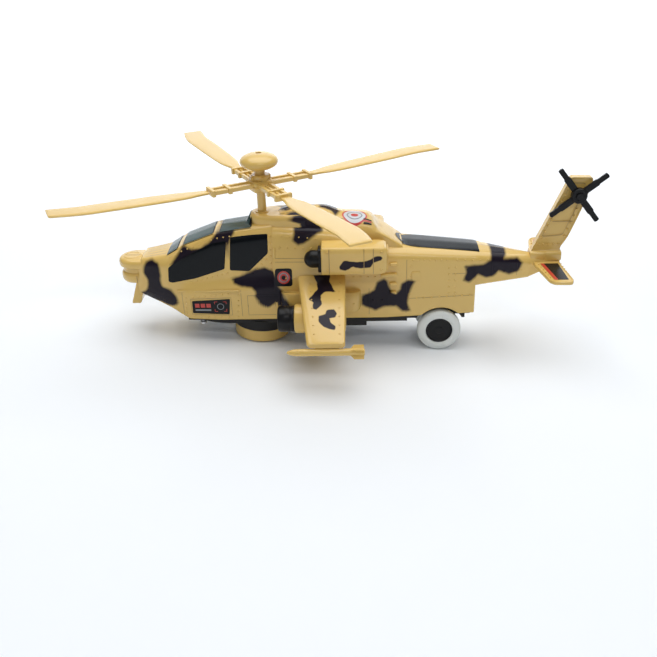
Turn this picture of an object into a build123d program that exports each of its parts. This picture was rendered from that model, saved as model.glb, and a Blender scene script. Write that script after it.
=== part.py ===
from build123d import *
import math
import os

# Toy attack helicopter.  Millimetres, +Z up, nose towards -X.
# Shapes are drawn from the ground and the swivel axis of the drive turret under the rotor
# mast.  save() then moves them so that the origin is below the middle of the overall length.
# Most shapes are drawn in the fuselage frame, where the deck and the belly are level, and
# put in place by settle(), which tips the fuselage nose-down as it stands on its wheels.
# The turret, the wheels and their axles are drawn level, as they stand.

os.makedirs("parts", exist_ok=True)

PITCH = 3.8                 # the fuselage stands this many degrees nose-down
WALL = 1.5                  # thickness of the moulded shells
MIDDLE_X = 57.2             # middle of the overall length, from the turret's swivel axis

# Fuselage
FLOOR = 21.5                # level of the belly edge
STEP_X = 14.5               # front edge of the engine section
ENGINE_END = 103.0
BODY_END = 171.0            # the deep part of the body ends here, the boom goes on
BOOM_END = 214.2
MAST_X = 6.2

# Ground contact
REAR_WHEEL_X = 143.0
REAR_WHEEL_R = 17.5
WHEEL_INNER_Y = 12.0
WHEEL_OUTER_Y = 21.5
ARCH_R = 20.5

# Drive turret
DRUM_R = 22.3
DRUM_LOW = 1.5
DRUM_TOP = 10.4
NECK_R = 20.5
NECK_TOP = 15.8
SPINDLE_R = 5.0
DRIVE_WHEEL_R = 6.8
SHAFT_R = 1.0
RUNNING_GAP = 0.05

# Main rotor
HUB_Z = 126.4
MAST_R = 3.4
BLADE_TIP_R = 158.8
BLADE_HINGE_R = 42.2        # a blade starts here, past the end of its hub arm
BLADE_RISE = 4.6            # height a tip gains over the hub
FIRST_BLADE_ANGLE = 29.7
DOME_Z = 143.4
DOME_R = 14.7
DOME_HALF_HEIGHT = 6.6
DOME_HOLE_R = 2.2
DOME_HOLE_DEPTH = 6.0

# Wings and what hangs on them
WING_ROOT_Z = 60.0
WING_TIP_Z = 37.0
WING_TIP_Y = 93.0
WING_THICK = 4.0
POD_Y = 50.0
POD_Z = 35.5
POD_R = 11.0
CAP_R = 10.0
MISSILE_Y = 93.0
MISSILE_Z = 30.0
MISSILE_R = 2.7

# Tail
FIN_HALF = 3.0
TAIL_ROTOR_X = 246.3
TAIL_ROTOR_Z = 113.8
TAIL_ROTOR_R = 26.0
TAIL_PIN_R = 1.5
FIRST_TAIL_BLADE_ANGLE = 38.2

# Battery box
CELL_R = 7.0
CELL_LENGTH = 50.0
CELL_PITCH = 14.3
BOX_FRONT = 24.0
BOX_REAR = 86.0
BOX_LOW = 14.8
CELL_Z = 24.8


def settle(shape):
    """Tips a shape drawn in the fuselage frame into its standing place."""
    return shape.rotate(Axis.Y, -PITCH)


def save(name, *solids):
    """Writes one named piece, or one group of separate identical pieces."""
    placed = [solid.moved(Location((-MIDDLE_X, 0, 0))) for solid in solids]
    group = placed[0] if len(placed) == 1 else Compound(children=placed)
    export_step(group, f"parts/{name}.step")


def block(x0, x1, y0, y1, z0, z1):
    """A box given by its two corners."""
    size = (x1 - x0, y1 - y0, z1 - z0)
    middle = ((x0 + x1) / 2, (y0 + y1) / 2, (z0 + z1) / 2)
    return Pos(*middle) * Box(*size)


def upright(radius, z0, z1, x=0.0, y=0.0):
    """A cylinder standing along Z."""
    return Pos(x, y, (z0 + z1) / 2) * Cylinder(radius, z1 - z0)


def tube(outer, inner, z0, z1, x=0.0, y=0.0):
    """A ring standing along Z."""
    return upright(outer, z0, z1, x, y) - upright(inner, z0 - 1, z1 + 1, x, y)


def crosswise(radius, y0, y1, x, z):
    """A cylinder lying along Y."""
    return Pos(x, (y0 + y1) / 2, z) * Rot(90, 0, 0) * Cylinder(radius, y1 - y0)


def lengthwise(radius, x0, x1, y, z):
    """A cylinder lying along X."""
    return Pos((x0 + x1) / 2, y, z) * Rot(0, 90, 0) * Cylinder(radius, x1 - x0)


def side_profile(points, y0, y1):
    """Extrudes an outline of (x, z) points from y0 to y1."""
    outline = Polyline([(x, y0, z) for x, z in points], close=True)
    return extrude(make_face(outline), amount=y1 - y0, dir=(0, 1, 0))


def turned(points, at):
    """Turns an outline of (radius, length along X) points about a line along X."""
    outline = Polyline([(length, radius, 0) for radius, length in points], close=True)
    return Pos(*at) * revolve(make_face(outline), Axis.X)


def mirrored(shape):
    """The same shape on the other side of the centre plane."""
    return mirror(shape, about=Plane.XZ)


# ---------------------------------------------------------------- fuselage sections
# Each station: x, floor level, low half-width, then (half-width, level) of the cheek,
# the window sill, the shoulder and the roof edge, and the level of the roof's crown.

NOSE_AND_CANOPY = [
    (-90, 38, 11, (14, 44), (14.5, 56), (14, 66), (12.5, 70.5), 70.8),
    (-69, 30, 18, (21, 40), (21.5, 54), (19.5, 69), (15.2, 74.3), 75),
    (-55, 22, 23, (25, 44), (22.5, 53), (19, 76), (15.2, 82.8), 83.6),
    (-30, FLOOR, 24.5, (25.5, 46), (22.5, 54), (18.5, 86), (15.2, 92), 93),
    (STEP_X, FLOOR, 24.5, (25.5, 50), (22.5, 58), (18.5, 91.5), (15.4, 98), 99.4),
]
ENGINE = [
    (STEP_X, FLOOR, 24.6, (25, 44), (25, 62), (20, 92), (16.5, 96.6), 97.5),
    (60, FLOOR, 24.5, (24.8, 44), (24.8, 61), (20.6, 89), (16.3, 94.4), 95.3),
    (ENGINE_END, FLOOR, 24.4, (24.6, 44), (24.4, 60), (22.5, 77), (15.5, 82), 83),
]
REAR_BODY = [
    (ENGINE_END, FLOOR, 24.2, (24.4, 44), (24.2, 60), (22.5, 75), (16, 79), 80),
    (BODY_END, FLOOR, 18, (18.5, 40), (18.5, 55), (17.5, 69), (12.5, 72.5), 73.8),
]
BOOM = [
    (BODY_END, 44.8, 16.5, (17.5, 50), (18, 60), (17.5, 69), (12.5, 72.5), 73.8),
    (BOOM_END, 47, 6.5, (7.5, 50), (8, 55), (8, 61), (5, 64.5), 66),
]


def section(station, inset, drop):
    """One half cross-section of the fuselage, drawn on its plane x = const."""
    x, floor, low, cheek, sill, shoulder, roof, crown = station
    points = [
        (0, floor - drop),
        (low - inset, floor - drop),
        (cheek[0] - inset, cheek[1]),
        (sill[0] - inset, sill[1]),
        (shoulder[0] - inset, shoulder[1] - inset / 2),
        (roof[0] - inset / 2, roof[1] - inset),
        (0, crown - inset),
    ]
    corners = [(x, y, z) for y, z in points]
    return make_face(Polyline(corners, close=True))


def hull(stations, inset=0.0, drop=0.0):
    """One half of a fuselage stretch, drawn through its stations."""
    return loft([section(s, inset, drop) for s in stations], ruled=True)


HUMP_SIDE = [
    (STEP_X, 84), (STEP_X, 98), (17, 104.5), (24, 107), (50, 108), (60, 106.5),
    (66, 103.2), (86, 101.5), (93, 98), (101, 84), (ENGINE_END, 80),
]
HUMP_SECTION = [(0, 80), (17, 80), (16, 92), (14.6, 98), (11.5, 105.5), (8.5, 108.2), (0, 109)]


def hump(inset=0.0):
    """The raised gearbox cowling on the roof: a side outline crossed with a section."""
    side = side_profile([(x, z - inset) for x, z in HUMP_SIDE], -1, 30)
    corners = [(0, max(y - inset, 0), z - inset) for y, z in HUMP_SECTION]
    across = extrude(make_face(Polyline(corners, close=True)), amount=130, dir=(1, 0, 0))
    return side & across


def ellipse_prism(x, y, rx, ry, z0, z1):
    """An upright prism with an elliptical outline."""
    outline = Plane.XY.offset(z0) * Ellipse(rx, ry)
    return Pos(x, y, 0) * extrude(outline, amount=z1 - z0)


def cheek_pod():
    """The flat-topped bulge with rounded ends along the engine section."""
    outline = Pos(0, 0, 29) * SlotOverall(64, 17)
    slab = extrude(outline, amount=18)
    slab = fillet(slab.edges().group_by(Axis.Z)[0], 5)
    return Pos(50, 24.5, 0) * slab


canopy_inner = hull(NOSE_AND_CANOPY, WALL, 2)
engine_inner = hull(ENGINE, WALL, 2)
rear_inner = hull(REAR_BODY, WALL, 2)
boom_inner = hull(BOOM, WALL, -WALL)
hump_inner = hump(WALL)

outer_half = hull(NOSE_AND_CANOPY) + hull(ENGINE) + hull(REAR_BODY) + hull(BOOM) + hump()
outer_half = outer_half + (cheek_pod() & block(0, 100, 0, 40, 0, 60))
outer_half = (outer_half + upright(10.5, 92, 104, MAST_X + 1.5)) & block(-100, 250, 0, 60, 0, 120)

front_bulkhead = block(-92, -87.5, 0, 30, 0, 90)
rear_bulkhead = block(BODY_END - WALL, BODY_END + 3, 0, 30, 0, 46.3)
tail_bulkhead = block(BOOM_END - WALL, BOOM_END + 1, 0, 30, 0, 90)
cavity = canopy_inner + engine_inner + rear_inner + boom_inner + hump_inner
cavity = cavity + block(STEP_X - 2, STEP_X + 1, 0, 16.8, FLOOR - 1, 88)
cavity = cavity - front_bulkhead - rear_bulkhead - tail_bulkhead

# ---------------------------------------------------------------- windows
# Outlines are (x, z) in the side view, or (x, y) in the plan view.
SIDE_WINDOWS = [
    [(-67, 55.5), (-67, 65), (-62, 69.5), (-31.5, 85.5), (-19.5, 88), (-23.5, 64.5), (-52.5, 55.5)],
    [(-17, 64), (-17, 88.2), (10.5, 90.8), (10, 77), (-4, 64)],
]
ROOF_PANES = [(-68, -60), (-54.5, -32), (-26.5, -3)]
PANE_HALF = 13.5
BOOM_WINDOW_FRONT = 109.0
BOOM_WINDOW_REAR = 173.5
BOOM_WINDOW_HALF = 12.0

openings = side_profile(SIDE_WINDOWS[0], 12, 30) + side_profile(SIDE_WINDOWS[1], 12, 30)
for front, rear in ROOF_PANES:
    openings = openings + block(front, rear, -1, PANE_HALF, 68, 110)

boom_slot = block(BOOM_WINDOW_FRONT + 8, BOOM_WINDOW_REAR, -1, BOOM_WINDOW_HALF, 60, 90)
boom_slot = boom_slot + ellipse_prism(BOOM_WINDOW_FRONT + 8, 0, 8, BOOM_WINDOW_HALF, 60, 90)
boom_slot = boom_slot & block(80, 180, 0, 30, 60, 90)

wheel_x = REAR_WHEEL_X * math.cos(math.radians(PITCH)) + REAR_WHEEL_R * math.sin(math.radians(PITCH))
wheel_z = REAR_WHEEL_R * math.cos(math.radians(PITCH)) - REAR_WHEEL_X * math.sin(math.radians(PITCH))
WELL_INNER_Y = 10.6
arch = crosswise(ARCH_R, WELL_INNER_Y, 30, wheel_x, wheel_z)

# ---------------------------------------------------------------- body shells
SCREW_SPOTS = [(-45.0, 17.0), (106.0, 15.5)]
SCREW_R = 1.15
boss_top = 46.0
shell = outer_half - cavity - openings - arch
shell = shell - boom_slot
for x, y in SCREW_SPOTS:
    boss = upright(3.2, FLOOR + 2, boss_top, x, y) + block(x - 1, x + 1, y, 24, FLOOR + 2, boss_top)
    boss = (boss & cavity) - upright(SCREW_R + 0.05, FLOOR, boss_top - 6, x, y)
    shell = shell + boss
MAST_HOLE_R = 5.5
shell = shell - upright(MAST_HOLE_R, 80, 120, MAST_X)

save("body_shell_right", settle(shell))
save("body_shell_left", settle(mirrored(shell)))

# ---------------------------------------------------------------- glazing
liner = hull(NOSE_AND_CANOPY, WALL + 0.1, 0) - hull(NOSE_AND_CANOPY, WALL + 1.3, 0)
liner = liner & block(-72, STEP_X - 2.2, 0, 30, 54.2, 110)
for x, y in SCREW_SPOTS:
    liner = liner - upright(3.4, 0, boss_top + 0.2, x, y)
liner = liner - upright(MAST_HOLE_R + 0.2, 80, 120, MAST_X)
canopy = liner + mirrored(liner)
save("canopy_glazing", settle(canopy))

boom_skin = (hull(ENGINE) + hull(REAR_BODY) + hull(BOOM)) & boom_slot
boom_skin = boom_skin - hull(REAR_BODY, WALL, 0) - hull(BOOM, WALL, 0) - hull(ENGINE, WALL, 0)
boom_window = boom_skin + mirrored(boom_skin)
save("boom_glazing", settle(boom_window))

# ---------------------------------------------------------------- nose sensor head
def head_ring(z0, z1, shrink):
    """A slice of the sensor head, smaller all round by shrink."""
    outline = Pos(-97, 0) * Circle(13.5 - shrink) + Pos(-93.6, 0) * Rectangle(7, 27 - 2 * shrink)
    return Pos(0, 0, z0) * extrude(outline, amount=z1 - z0)


head = head_ring(63, 67, 0) + head_ring(67, 69, 1.2)
head = head + head_ring(57, 63, 1.4) + head_ring(51, 57, 0.2) + head_ring(49, 51, 1.6)
head = head + (upright(7.4, 68.5, 69.5, -100.2) - upright(6.6, 69.1, 70, -100.2))
chin = side_profile([(-97, 49.1), (-103, 30), (-90.2, 31), (-90.2, 49.1)], -10, 10)
head = (head + chin) & block(-120, -90.1, -20, 20, 20, 80)
save("nose_sensor", settle(head))

# ---------------------------------------------------------------- chassis
plate = block(-20, 164, 0, 22, 18, FLOOR) + ellipse_prism(-20, 0, 34, 22, 18, FLOOR)
plate = plate - block(118, 170, 17.2, 30, 10, 30)
tongue = cavity & block(-56, 168, 0, 30, FLOOR, FLOOR + 2)
plate = (plate & block(-60, 170, 0, 30, 0, 40)) + tongue
well = crosswise(ARCH_R + 1.2, WELL_INNER_Y - 1.2, 22, wheel_x, wheel_z)
well = well & cavity & block(100, 170, 0, 22, FLOOR, 60)
battery_box = block(BOX_FRONT, BOX_REAR, 0, 22.6, BOX_LOW, 34)
battery_space = block(BOX_FRONT + 1.2, BOX_REAR - 1.2, -1, 21.5, BOX_LOW - 1, 32.8)
plate = plate + well + battery_box - battery_space
plate = plate - arch
for x, y in SCREW_SPOTS:
    plate = plate - upright(SCREW_R + 0.45, 10, 30, x, y)
AXLE_R = 1.5
axle_block = block(wheel_x - 6, wheel_x + 6, 0, 10, wheel_z - 5, 18)
plate = plate + axle_block - crosswise(AXLE_R + RUNNING_GAP, -1, 20, wheel_x, wheel_z)
SPEAKER_X = -33.0
tray = plate + mirrored(plate)
for ring in range(3):
    for step in range(8):
        angle = math.radians(45 * step + 15 * ring)
        reach = 2.4 + 2.6 * ring
        hole_x = SPEAKER_X + reach * math.cos(angle)
        tray = tray - upright(0.7, 10, 30, hole_x, reach * math.sin(angle))
SWITCH_X = 101.0
SWITCH_TRAVEL = 4.0
tray = tray - block(SWITCH_X - 5.5, SWITCH_X + 5.5, -2.2, 2.2, 10, 30)
tray = settle(tray)
collar = tube(23.0, 21.0, DRUM_TOP + 0.5, 19.3)
bearing = tube(8.0, SPINDLE_R + RUNNING_GAP, 16.6, 24.0)
tray = tray - upright(SPINDLE_R + 1, 0, 40) + collar + bearing
save("chassis", tray)

door = block(BOX_FRONT + 1.4, BOX_REAR - 1.4, -21.3, 21.3, BOX_LOW, BOX_LOW + 1.6)
for rib in range(5):
    x = BOX_FRONT + 12 + 9 * rib
    door = door + block(x - 0.8, x + 0.8, -12, 12, BOX_LOW - 0.6, BOX_LOW)
save("battery_door", settle(door))

cells = []
contacts = []
for row in (-1, 0, 1):
    y = row * CELL_PITCH
    front = BOX_FRONT + 6.0
    cell = lengthwise(CELL_R, front, front + CELL_LENGTH - 1.2, y, CELL_Z)
    cell = cell + lengthwise(2.7, front + CELL_LENGTH - 1.2, front + CELL_LENGTH, y, CELL_Z)
    cells.append(settle(cell))
    contacts.append(settle(lengthwise(3.0, BOX_FRONT + 1.2, front, y, CELL_Z)))
    rear_plate = block(front + CELL_LENGTH, BOX_REAR - 1.2, y - 5, y + 5, CELL_Z - 5, CELL_Z + 5)
    contacts.append(settle(rear_plate))
save("battery_cells", *cells)
save("battery_contacts", *contacts)

screws = []
for x, y in SCREW_SPOTS:
    for side in (-1, 1):
        shank = upright(SCREW_R, 18, 32, x, side * y)
        slot = block(x - 3, x + 3, side * y - 0.3, side * y + 0.3, 16, 17)
        head_disc = upright(2.6, 16.4, 18, x, side * y) - slot
        screws.append(settle(shank + head_disc))
save("chassis_screws", *screws)

# ---------------------------------------------------------------- speaker, lamps, switch
speaker = upright(13.5, 23.6, 26, SPEAKER_X) + upright(7, 26, 31, SPEAKER_X)
save("speaker", settle(speaker))
lamp_board = block(-52, -42, -12, 12, 62, 63.4)
for y in (-8, 0, 8):
    lamp_board = lamp_board + upright(2.5, 63.4, 68, -47, y) + Pos(-47, y, 68) * Sphere(2.5)
save("lamp_board", settle(lamp_board))
rear_lamps = block(120, 150, -6, 6, 60, 61.4)
for x in (126, 144):
    rear_lamps = rear_lamps + upright(2.5, 61.4, 65, x) + Pos(x, 0, 65) * Sphere(2.5)
save("boom_lamp_board", settle(rear_lamps))
switch = block(SWITCH_X - 3.3, SWITCH_X + 3.3, -2, 2, 16.6, 22.6)
switch = switch + block(SWITCH_X - 4.8, SWITCH_X + 4.8, -4, 4, 24, 25.4)
switch = switch + block(SWITCH_X - 3.3, SWITCH_X + 3.3, -2, 2, 22.6, 24)
switch = Pos(-SWITCH_TRAVEL / 2 + 0.2, 0, 0) * switch
save("switch_slider", settle(switch))

# ---------------------------------------------------------------- gear case and drive train
CASE_FRONT = -39.4
CASE_REAR = 20.5
CASE_TOP = 62.0
case = block(CASE_FRONT, CASE_REAR, -14, 14, 31.5, CASE_TOP)
case = case - block(CASE_FRONT + 1.2, CASE_REAR - 1.2, -12.8, 12.8, 30, CASE_TOP - 1.2)
for x in (CASE_FRONT + 2, CASE_REAR - 2):
    for y in (-12, 12):
        case = case + block(x - 2, x + 2, y - 2, y + 2, FLOOR + 2, 31.5)
case = case - upright(MAST_R + 1, CASE_TOP - 3, CASE_TOP + 3, MAST_X)
case = case - upright(13.7, 0, 31.7, SPEAKER_X)
save("gear_case", settle(case))

COUNTER_X = -13.0
MOTOR_X = -27.6
counter = upright(1.0, 44, 60.4, COUNTER_X) + upright(4.6, 45, 48, COUNTER_X)
counter = counter + upright(11.0, 50, 52, COUNTER_X) + upright(7.2, 53, 59, COUNTER_X)
save("counter_gear", settle(counter))
motor = (upright(9.8, 32.5, 49, MOTOR_X) & block(-60, 0, -7.7, 7.7, 0, 90)) - upright(1.3, 40, 60, MOTOR_X)
save("drive_motor", settle(motor))
pinion = upright(1.0, 45, 53, MOTOR_X) + upright(3.4, 49.4, 52.6, MOTOR_X)
save("motor_pinion", settle(pinion))

drive_shaft = upright(SHAFT_R, 8.9, 48)
drive_shaft = drive_shaft + upright(3.0, 9.4, 11.6)
save("drive_shaft", drive_shaft)
save("drive_gear", tube(9.0, SHAFT_R, 45.2, 47.4))

# ---------------------------------------------------------------- turret
drum = tube(DRUM_R, DRUM_R - WALL, DRUM_LOW, DRUM_TOP)
drum = drum + tube(DRUM_R, NECK_R - WALL, DRUM_TOP - WALL, DRUM_TOP)
drum = drum + tube(NECK_R, NECK_R - WALL, DRUM_TOP - WALL, NECK_TOP)
drum = drum + tube(NECK_R, SHAFT_R + RUNNING_GAP, NECK_TOP - WALL, NECK_TOP)
drum = drum + tube(SPINDLE_R, SHAFT_R + RUNNING_GAP, NECK_TOP, 25.8)
DRIVE_AXLE_R = 1.0
for side in (-1, 1):
    ear = block(-3, 3, 5.0, 7.0, DRIVE_WHEEL_R - 3, NECK_TOP - WALL)
    ear = ear if side > 0 else mirrored(ear)
    drum = drum + ear
drum = drum - crosswise(DRIVE_AXLE_R + RUNNING_GAP, -9, 9, 0, DRIVE_WHEEL_R)
save("turret_drum", drum)
save("turret_clip", tube(7.5, SPINDLE_R, 24.3, 25.5))

# ---------------------------------------------------------------- drive wheels
axle = crosswise(DRIVE_AXLE_R, -15, 15, 0, DRIVE_WHEEL_R)
save("drive_axle", axle)
crown = crosswise(5.6, 3.4, 4.6, 0, DRIVE_WHEEL_R) - crosswise(DRIVE_AXLE_R, 0, 9, 0, DRIVE_WHEEL_R)
save("crown_gear", crown)
for name, side in (("left", -1), ("right", 1)):
    core = crosswise(5.2, 9.5, 15, 0, DRIVE_WHEEL_R) - crosswise(DRIVE_AXLE_R, 9, 15.1, 0, DRIVE_WHEEL_R)
    tread = crosswise(DRIVE_WHEEL_R, 9.5, 15, 0, DRIVE_WHEEL_R) - crosswise(5.2, 9, 16, 0, DRIVE_WHEEL_R)
    if side < 0:
        core = mirrored(core)
        tread = mirrored(tread)
    save(f"drive_wheel_{name}", core)
    save(f"drive_tyre_{name}", tread)

# ---------------------------------------------------------------- rear wheels
HUB_CAP_R = 10.6
rear_axle = crosswise(AXLE_R, -19, 19, REAR_WHEEL_X, REAR_WHEEL_R)
save("rear_axle", rear_axle)
for name, side in (("left", -1), ("right", 1)):
    at = (REAR_WHEEL_X, REAR_WHEEL_R)
    hub = crosswise(HUB_CAP_R, WHEEL_INNER_Y, WHEEL_OUTER_Y - 1, *at)
    hub = hub - crosswise(AXLE_R, 0, 19, *at)
    tyre = crosswise(REAR_WHEEL_R, WHEEL_INNER_Y, WHEEL_OUTER_Y, *at)
    tyre = fillet(tyre.edges().filter_by(GeomType.CIRCLE), 3.0)
    tyre = tyre - crosswise(HUB_CAP_R, 0, 30, *at)
    if side < 0:
        hub = mirrored(hub)
        tyre = mirrored(tyre)
    save(f"rear_wheel_{name}", hub)
    save(f"rear_tyre_{name}", tyre)

# ---------------------------------------------------------------- main rotor
bearing_top = 104.5
sleeve = tube(MAST_HOLE_R - 0.1, MAST_R + RUNNING_GAP, CASE_TOP, bearing_top, MAST_X)
save("mast_bearing", settle(sleeve))
mast = upright(MAST_R, 54, HUB_Z - 5, MAST_X)
save("rotor_mast", settle(mast))
save("mast_gear", settle(tube(11.8, MAST_R, 54.6, 57.6, MAST_X)))

HUB_HALF = 8.5
hub_square = Rot(0, 0, FIRST_BLADE_ANGLE) * block(-HUB_HALF, HUB_HALF, -HUB_HALF, HUB_HALF, HUB_Z - 5, HUB_Z + 3)
hub = Pos(MAST_X, 0, 0) * hub_square + upright(7.0, HUB_Z + 3, HUB_Z + 7, MAST_X)
hub = hub + upright(4.2, HUB_Z + 7, DOME_Z - 4, MAST_X)
for index in range(4):
    turn = Pos(MAST_X, 0, 0) * Rot(0, 0, FIRST_BLADE_ANGLE + 90 * index) * Pos(-MAST_X, 0, 0)
    for y in (-4.2, 4.2):
        arm = block(MAST_X + 2, MAST_X + 42, y - 1.4, y + 1.4, HUB_Z - 1.6, HUB_Z + 1.6)
        hub = hub + turn * arm
    for reach in (27, 40):
        strap = block(MAST_X + reach - 1.6, MAST_X + reach + 1.6, -7, 7, HUB_Z - 2.6, HUB_Z + 2.6)
        hub = hub + turn * strap
save("rotor_hub", settle(hub))

# Distance out along the blade, and across it; the tip is swept back.
BLADE_OUTLINE = [
    (BLADE_HINGE_R, 3.2), (50, 4.5), (60, 7.5), (75, 8.6), (110, 9.4), (133, 9.6), (147, 7.4),
    (BLADE_TIP_R, 3.8), (BLADE_TIP_R - 1.2, -12), (149, -11), (136, -8.9), (110, -9.2), (75, -8.4),
    (60, -7.2), (50, -4.4), (BLADE_HINGE_R, -3.2),
]
for index in range(4):
    corners = [(MAST_X + reach, across, HUB_Z - 1.0) for reach, across in BLADE_OUTLINE]
    blade = extrude(make_face(Polyline(corners, close=True)), amount=2.0, dir=(0, 0, 1))
    lean = math.degrees(math.atan2(BLADE_RISE, BLADE_TIP_R - BLADE_HINGE_R))
    hinge = Pos(MAST_X + BLADE_HINGE_R, 0, HUB_Z)
    blade = hinge * Rot(0, -lean, 0) * hinge.inverse() * blade
    blade = Pos(MAST_X, 0, 0) * Rot(0, 0, FIRST_BLADE_ANGLE + 90 * index) * Pos(-MAST_X, 0, 0) * blade
    save(f"rotor_blade_{index + 1}", settle(blade))

dome_outline = Plane.XZ * (Ellipse(DOME_R, DOME_HALF_HEIGHT) & Pos(DOME_R, 0) * Rectangle(2 * DOME_R, 40))
dome = Pos(MAST_X, 0, DOME_Z) * revolve(dome_outline, Axis.Z)
dome = dome - upright(4.2, DOME_Z - 10, DOME_Z - 4, MAST_X)
dome = dome - upright(DOME_HOLE_R, DOME_Z + DOME_HALF_HEIGHT - DOME_HOLE_DEPTH, DOME_Z + 10, MAST_X)
save("rotor_dome", settle(dome))

# ---------------------------------------------------------------- nacelles and intakes
nacelle = block(52, 101.5, 17.0, 38, 65, 86.8)
nacelle = fillet(nacelle.edges().filter_by(Axis.X), 2.5)
nacelle = fillet(nacelle.faces().sort_by(Axis.X)[-1].edges(), 2.0)
nacelle = nacelle - (hull(ENGINE) + hull(REAR_BODY))
intake = block(49.5, 52, 25.2, 37, 66.5, 85.5)
intake = intake + (Pos(45.5, 31.2, 76.3) * Sphere(6.8) & block(30, 45.5, 20, 45, 60, 90))
intake = intake + lengthwise(6.8, 45.5, 49.5, 31.2, 76.3)
intake = intake - hull(ENGINE)
save("nacelle_right", settle(nacelle))
save("nacelle_left", settle(mirrored(nacelle)))
save("intake_right", settle(intake))
save("intake_left", settle(mirrored(intake)))

# ---------------------------------------------------------------- wings, pods and missiles
WING_ROOT_Y = 25.3
root_face = make_face(Polyline([(x, WING_ROOT_Y, z) for x, z in [
    (33, WING_ROOT_Z - WING_THICK / 2), (35, WING_ROOT_Z), (69, WING_ROOT_Z),
    (70, WING_ROOT_Z - 1), (70, WING_ROOT_Z - WING_THICK), (35, WING_ROOT_Z - WING_THICK),
]], close=True))
tip_face = make_face(Polyline([(x, WING_TIP_Y, z) for x, z in [
    (42, WING_TIP_Z - WING_THICK / 2), (44, WING_TIP_Z), (68.5, WING_TIP_Z),
    (69.5, WING_TIP_Z - 1), (69.5, WING_TIP_Z - WING_THICK), (44, WING_TIP_Z - WING_THICK),
]], close=True))
wing = loft([root_face, tip_face], ruled=True)


def hanger(x0, x1, y0, y1, low):
    """A web that stands up to the sloping underside of the wing."""
    slope = (WING_ROOT_Z - WING_TIP_Z) / (WING_TIP_Y - WING_ROOT_Y)
    top0 = WING_ROOT_Z - WING_THICK - slope * (y0 - WING_ROOT_Y)
    top1 = WING_ROOT_Z - WING_THICK - slope * (y1 - WING_ROOT_Y)
    corners = [(x0, y0, low), (x0, y1, low), (x0, y1, top1), (x0, y0, top0)]
    return extrude(make_face(Polyline(corners, close=True)), amount=x1 - x0, dir=(1, 0, 0))


pod = lengthwise(POD_R, 31, 70, POD_Y, POD_Z)
pod = fillet(pod.edges().group_by(Axis.X)[-1], 3.0)
pod = pod + hanger(38, 64, POD_Y - 2, POD_Y + 2, POD_Z + 5)
cap = lengthwise(CAP_R, 18.3, 31, POD_Y, POD_Z)
cap = fillet(cap.edges().group_by(Axis.X)[0], 2.0)
for step in range(6):
    angle = math.radians(60 * step)
    tube_y = POD_Y + 5.8 * math.cos(angle)
    cap = cap - lengthwise(1.7, 17, 22, tube_y, POD_Z + 5.8 * math.sin(angle))
cap = cap - lengthwise(1.7, 17, 22, POD_Y, POD_Z)

missile = turned([(0, 27.3), (1.4, 29.5), (2.3, 32.5), (MISSILE_R, 36), (MISSILE_R, 83.4), (0, 83.4)],
                 (0, MISSILE_Y, MISSILE_Z))
for angle in (45, 135):
    fin_pair = Pos(77.5, MISSILE_Y, MISSILE_Z) * Rot(angle, 0, 0) * Box(11, 11, 0.9)
    missile = missile + fin_pair
missile = missile + hanger(47, 66, MISSILE_Y - 2.2, MISSILE_Y - 0.6, MISSILE_Z)
for name, flip in (("right", False), ("left", True)):
    for label, shape in (("wing", wing), ("pod", pod), ("pod_cap", cap), ("missile", missile)):
        piece = mirrored(shape) if flip else shape
        save(f"{label}_{name}", settle(piece))

# ---------------------------------------------------------------- tail
def tail_section(x, half):
    """A whole cross-section of the tail boom from its right half, (y, z) from belly to crown."""
    other = [(-y, z) for y, z in reversed(half) if y > 0]
    return make_face(Polyline([(x, y, z) for y, z in half + other], close=True))


boom_tail = loft([
    tail_section(BOOM_END, [(6.5, 47), (8, 55), (8, 61), (5, 64.5), (0, 66)]),
    tail_section(238.0, [(3.5, 57), (4.5, 59), (4.5, 61), (3, 63.5), (0, 65)]),
], ruled=True)
moulding = block(BOOM_END, 238.5, -6, 6, 60.5, 68.2)
moulding = fillet(moulding.edges().filter_by(Axis.X).group_by(Axis.Z)[-1], 3.0)
fin = side_profile([(214.5, 67), (240, 127), (256.5, 126.6), (257, 123), (250.7, 100.7),
                    (242.6, 79), (237.5, 71), (237.5, 67)], -FIN_HALF, FIN_HALF)
tail_boss = crosswise(4.5, -FIN_HALF - 1.2, -FIN_HALF, TAIL_ROTOR_X, TAIL_ROTOR_Z)
tail = boom_tail + moulding + fin + tail_boss
tail = tail - crosswise(TAIL_PIN_R, -10, 1, TAIL_ROTOR_X, TAIL_ROTOR_Z)
STAB = [(216.5, 7.5), (222, 41), (225.5, 45.5), (238.5, 46), (240.5, 42), (237.5, 7.5)]
stab = extrude(make_face(Polyline([(x, y, 57.4) for x, y in STAB], close=True)), amount=3.2, dir=(0, 0, 1))
tail_side = boom_tail + moulding
stab = (stab + block(217, 237, 3.5, 8, 57.4, 60.4)) - tail_side
save("tail_fin", settle(tail))
save("stabiliser_right", settle(stab))
save("stabiliser_left", settle(mirrored(stab)))

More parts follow.
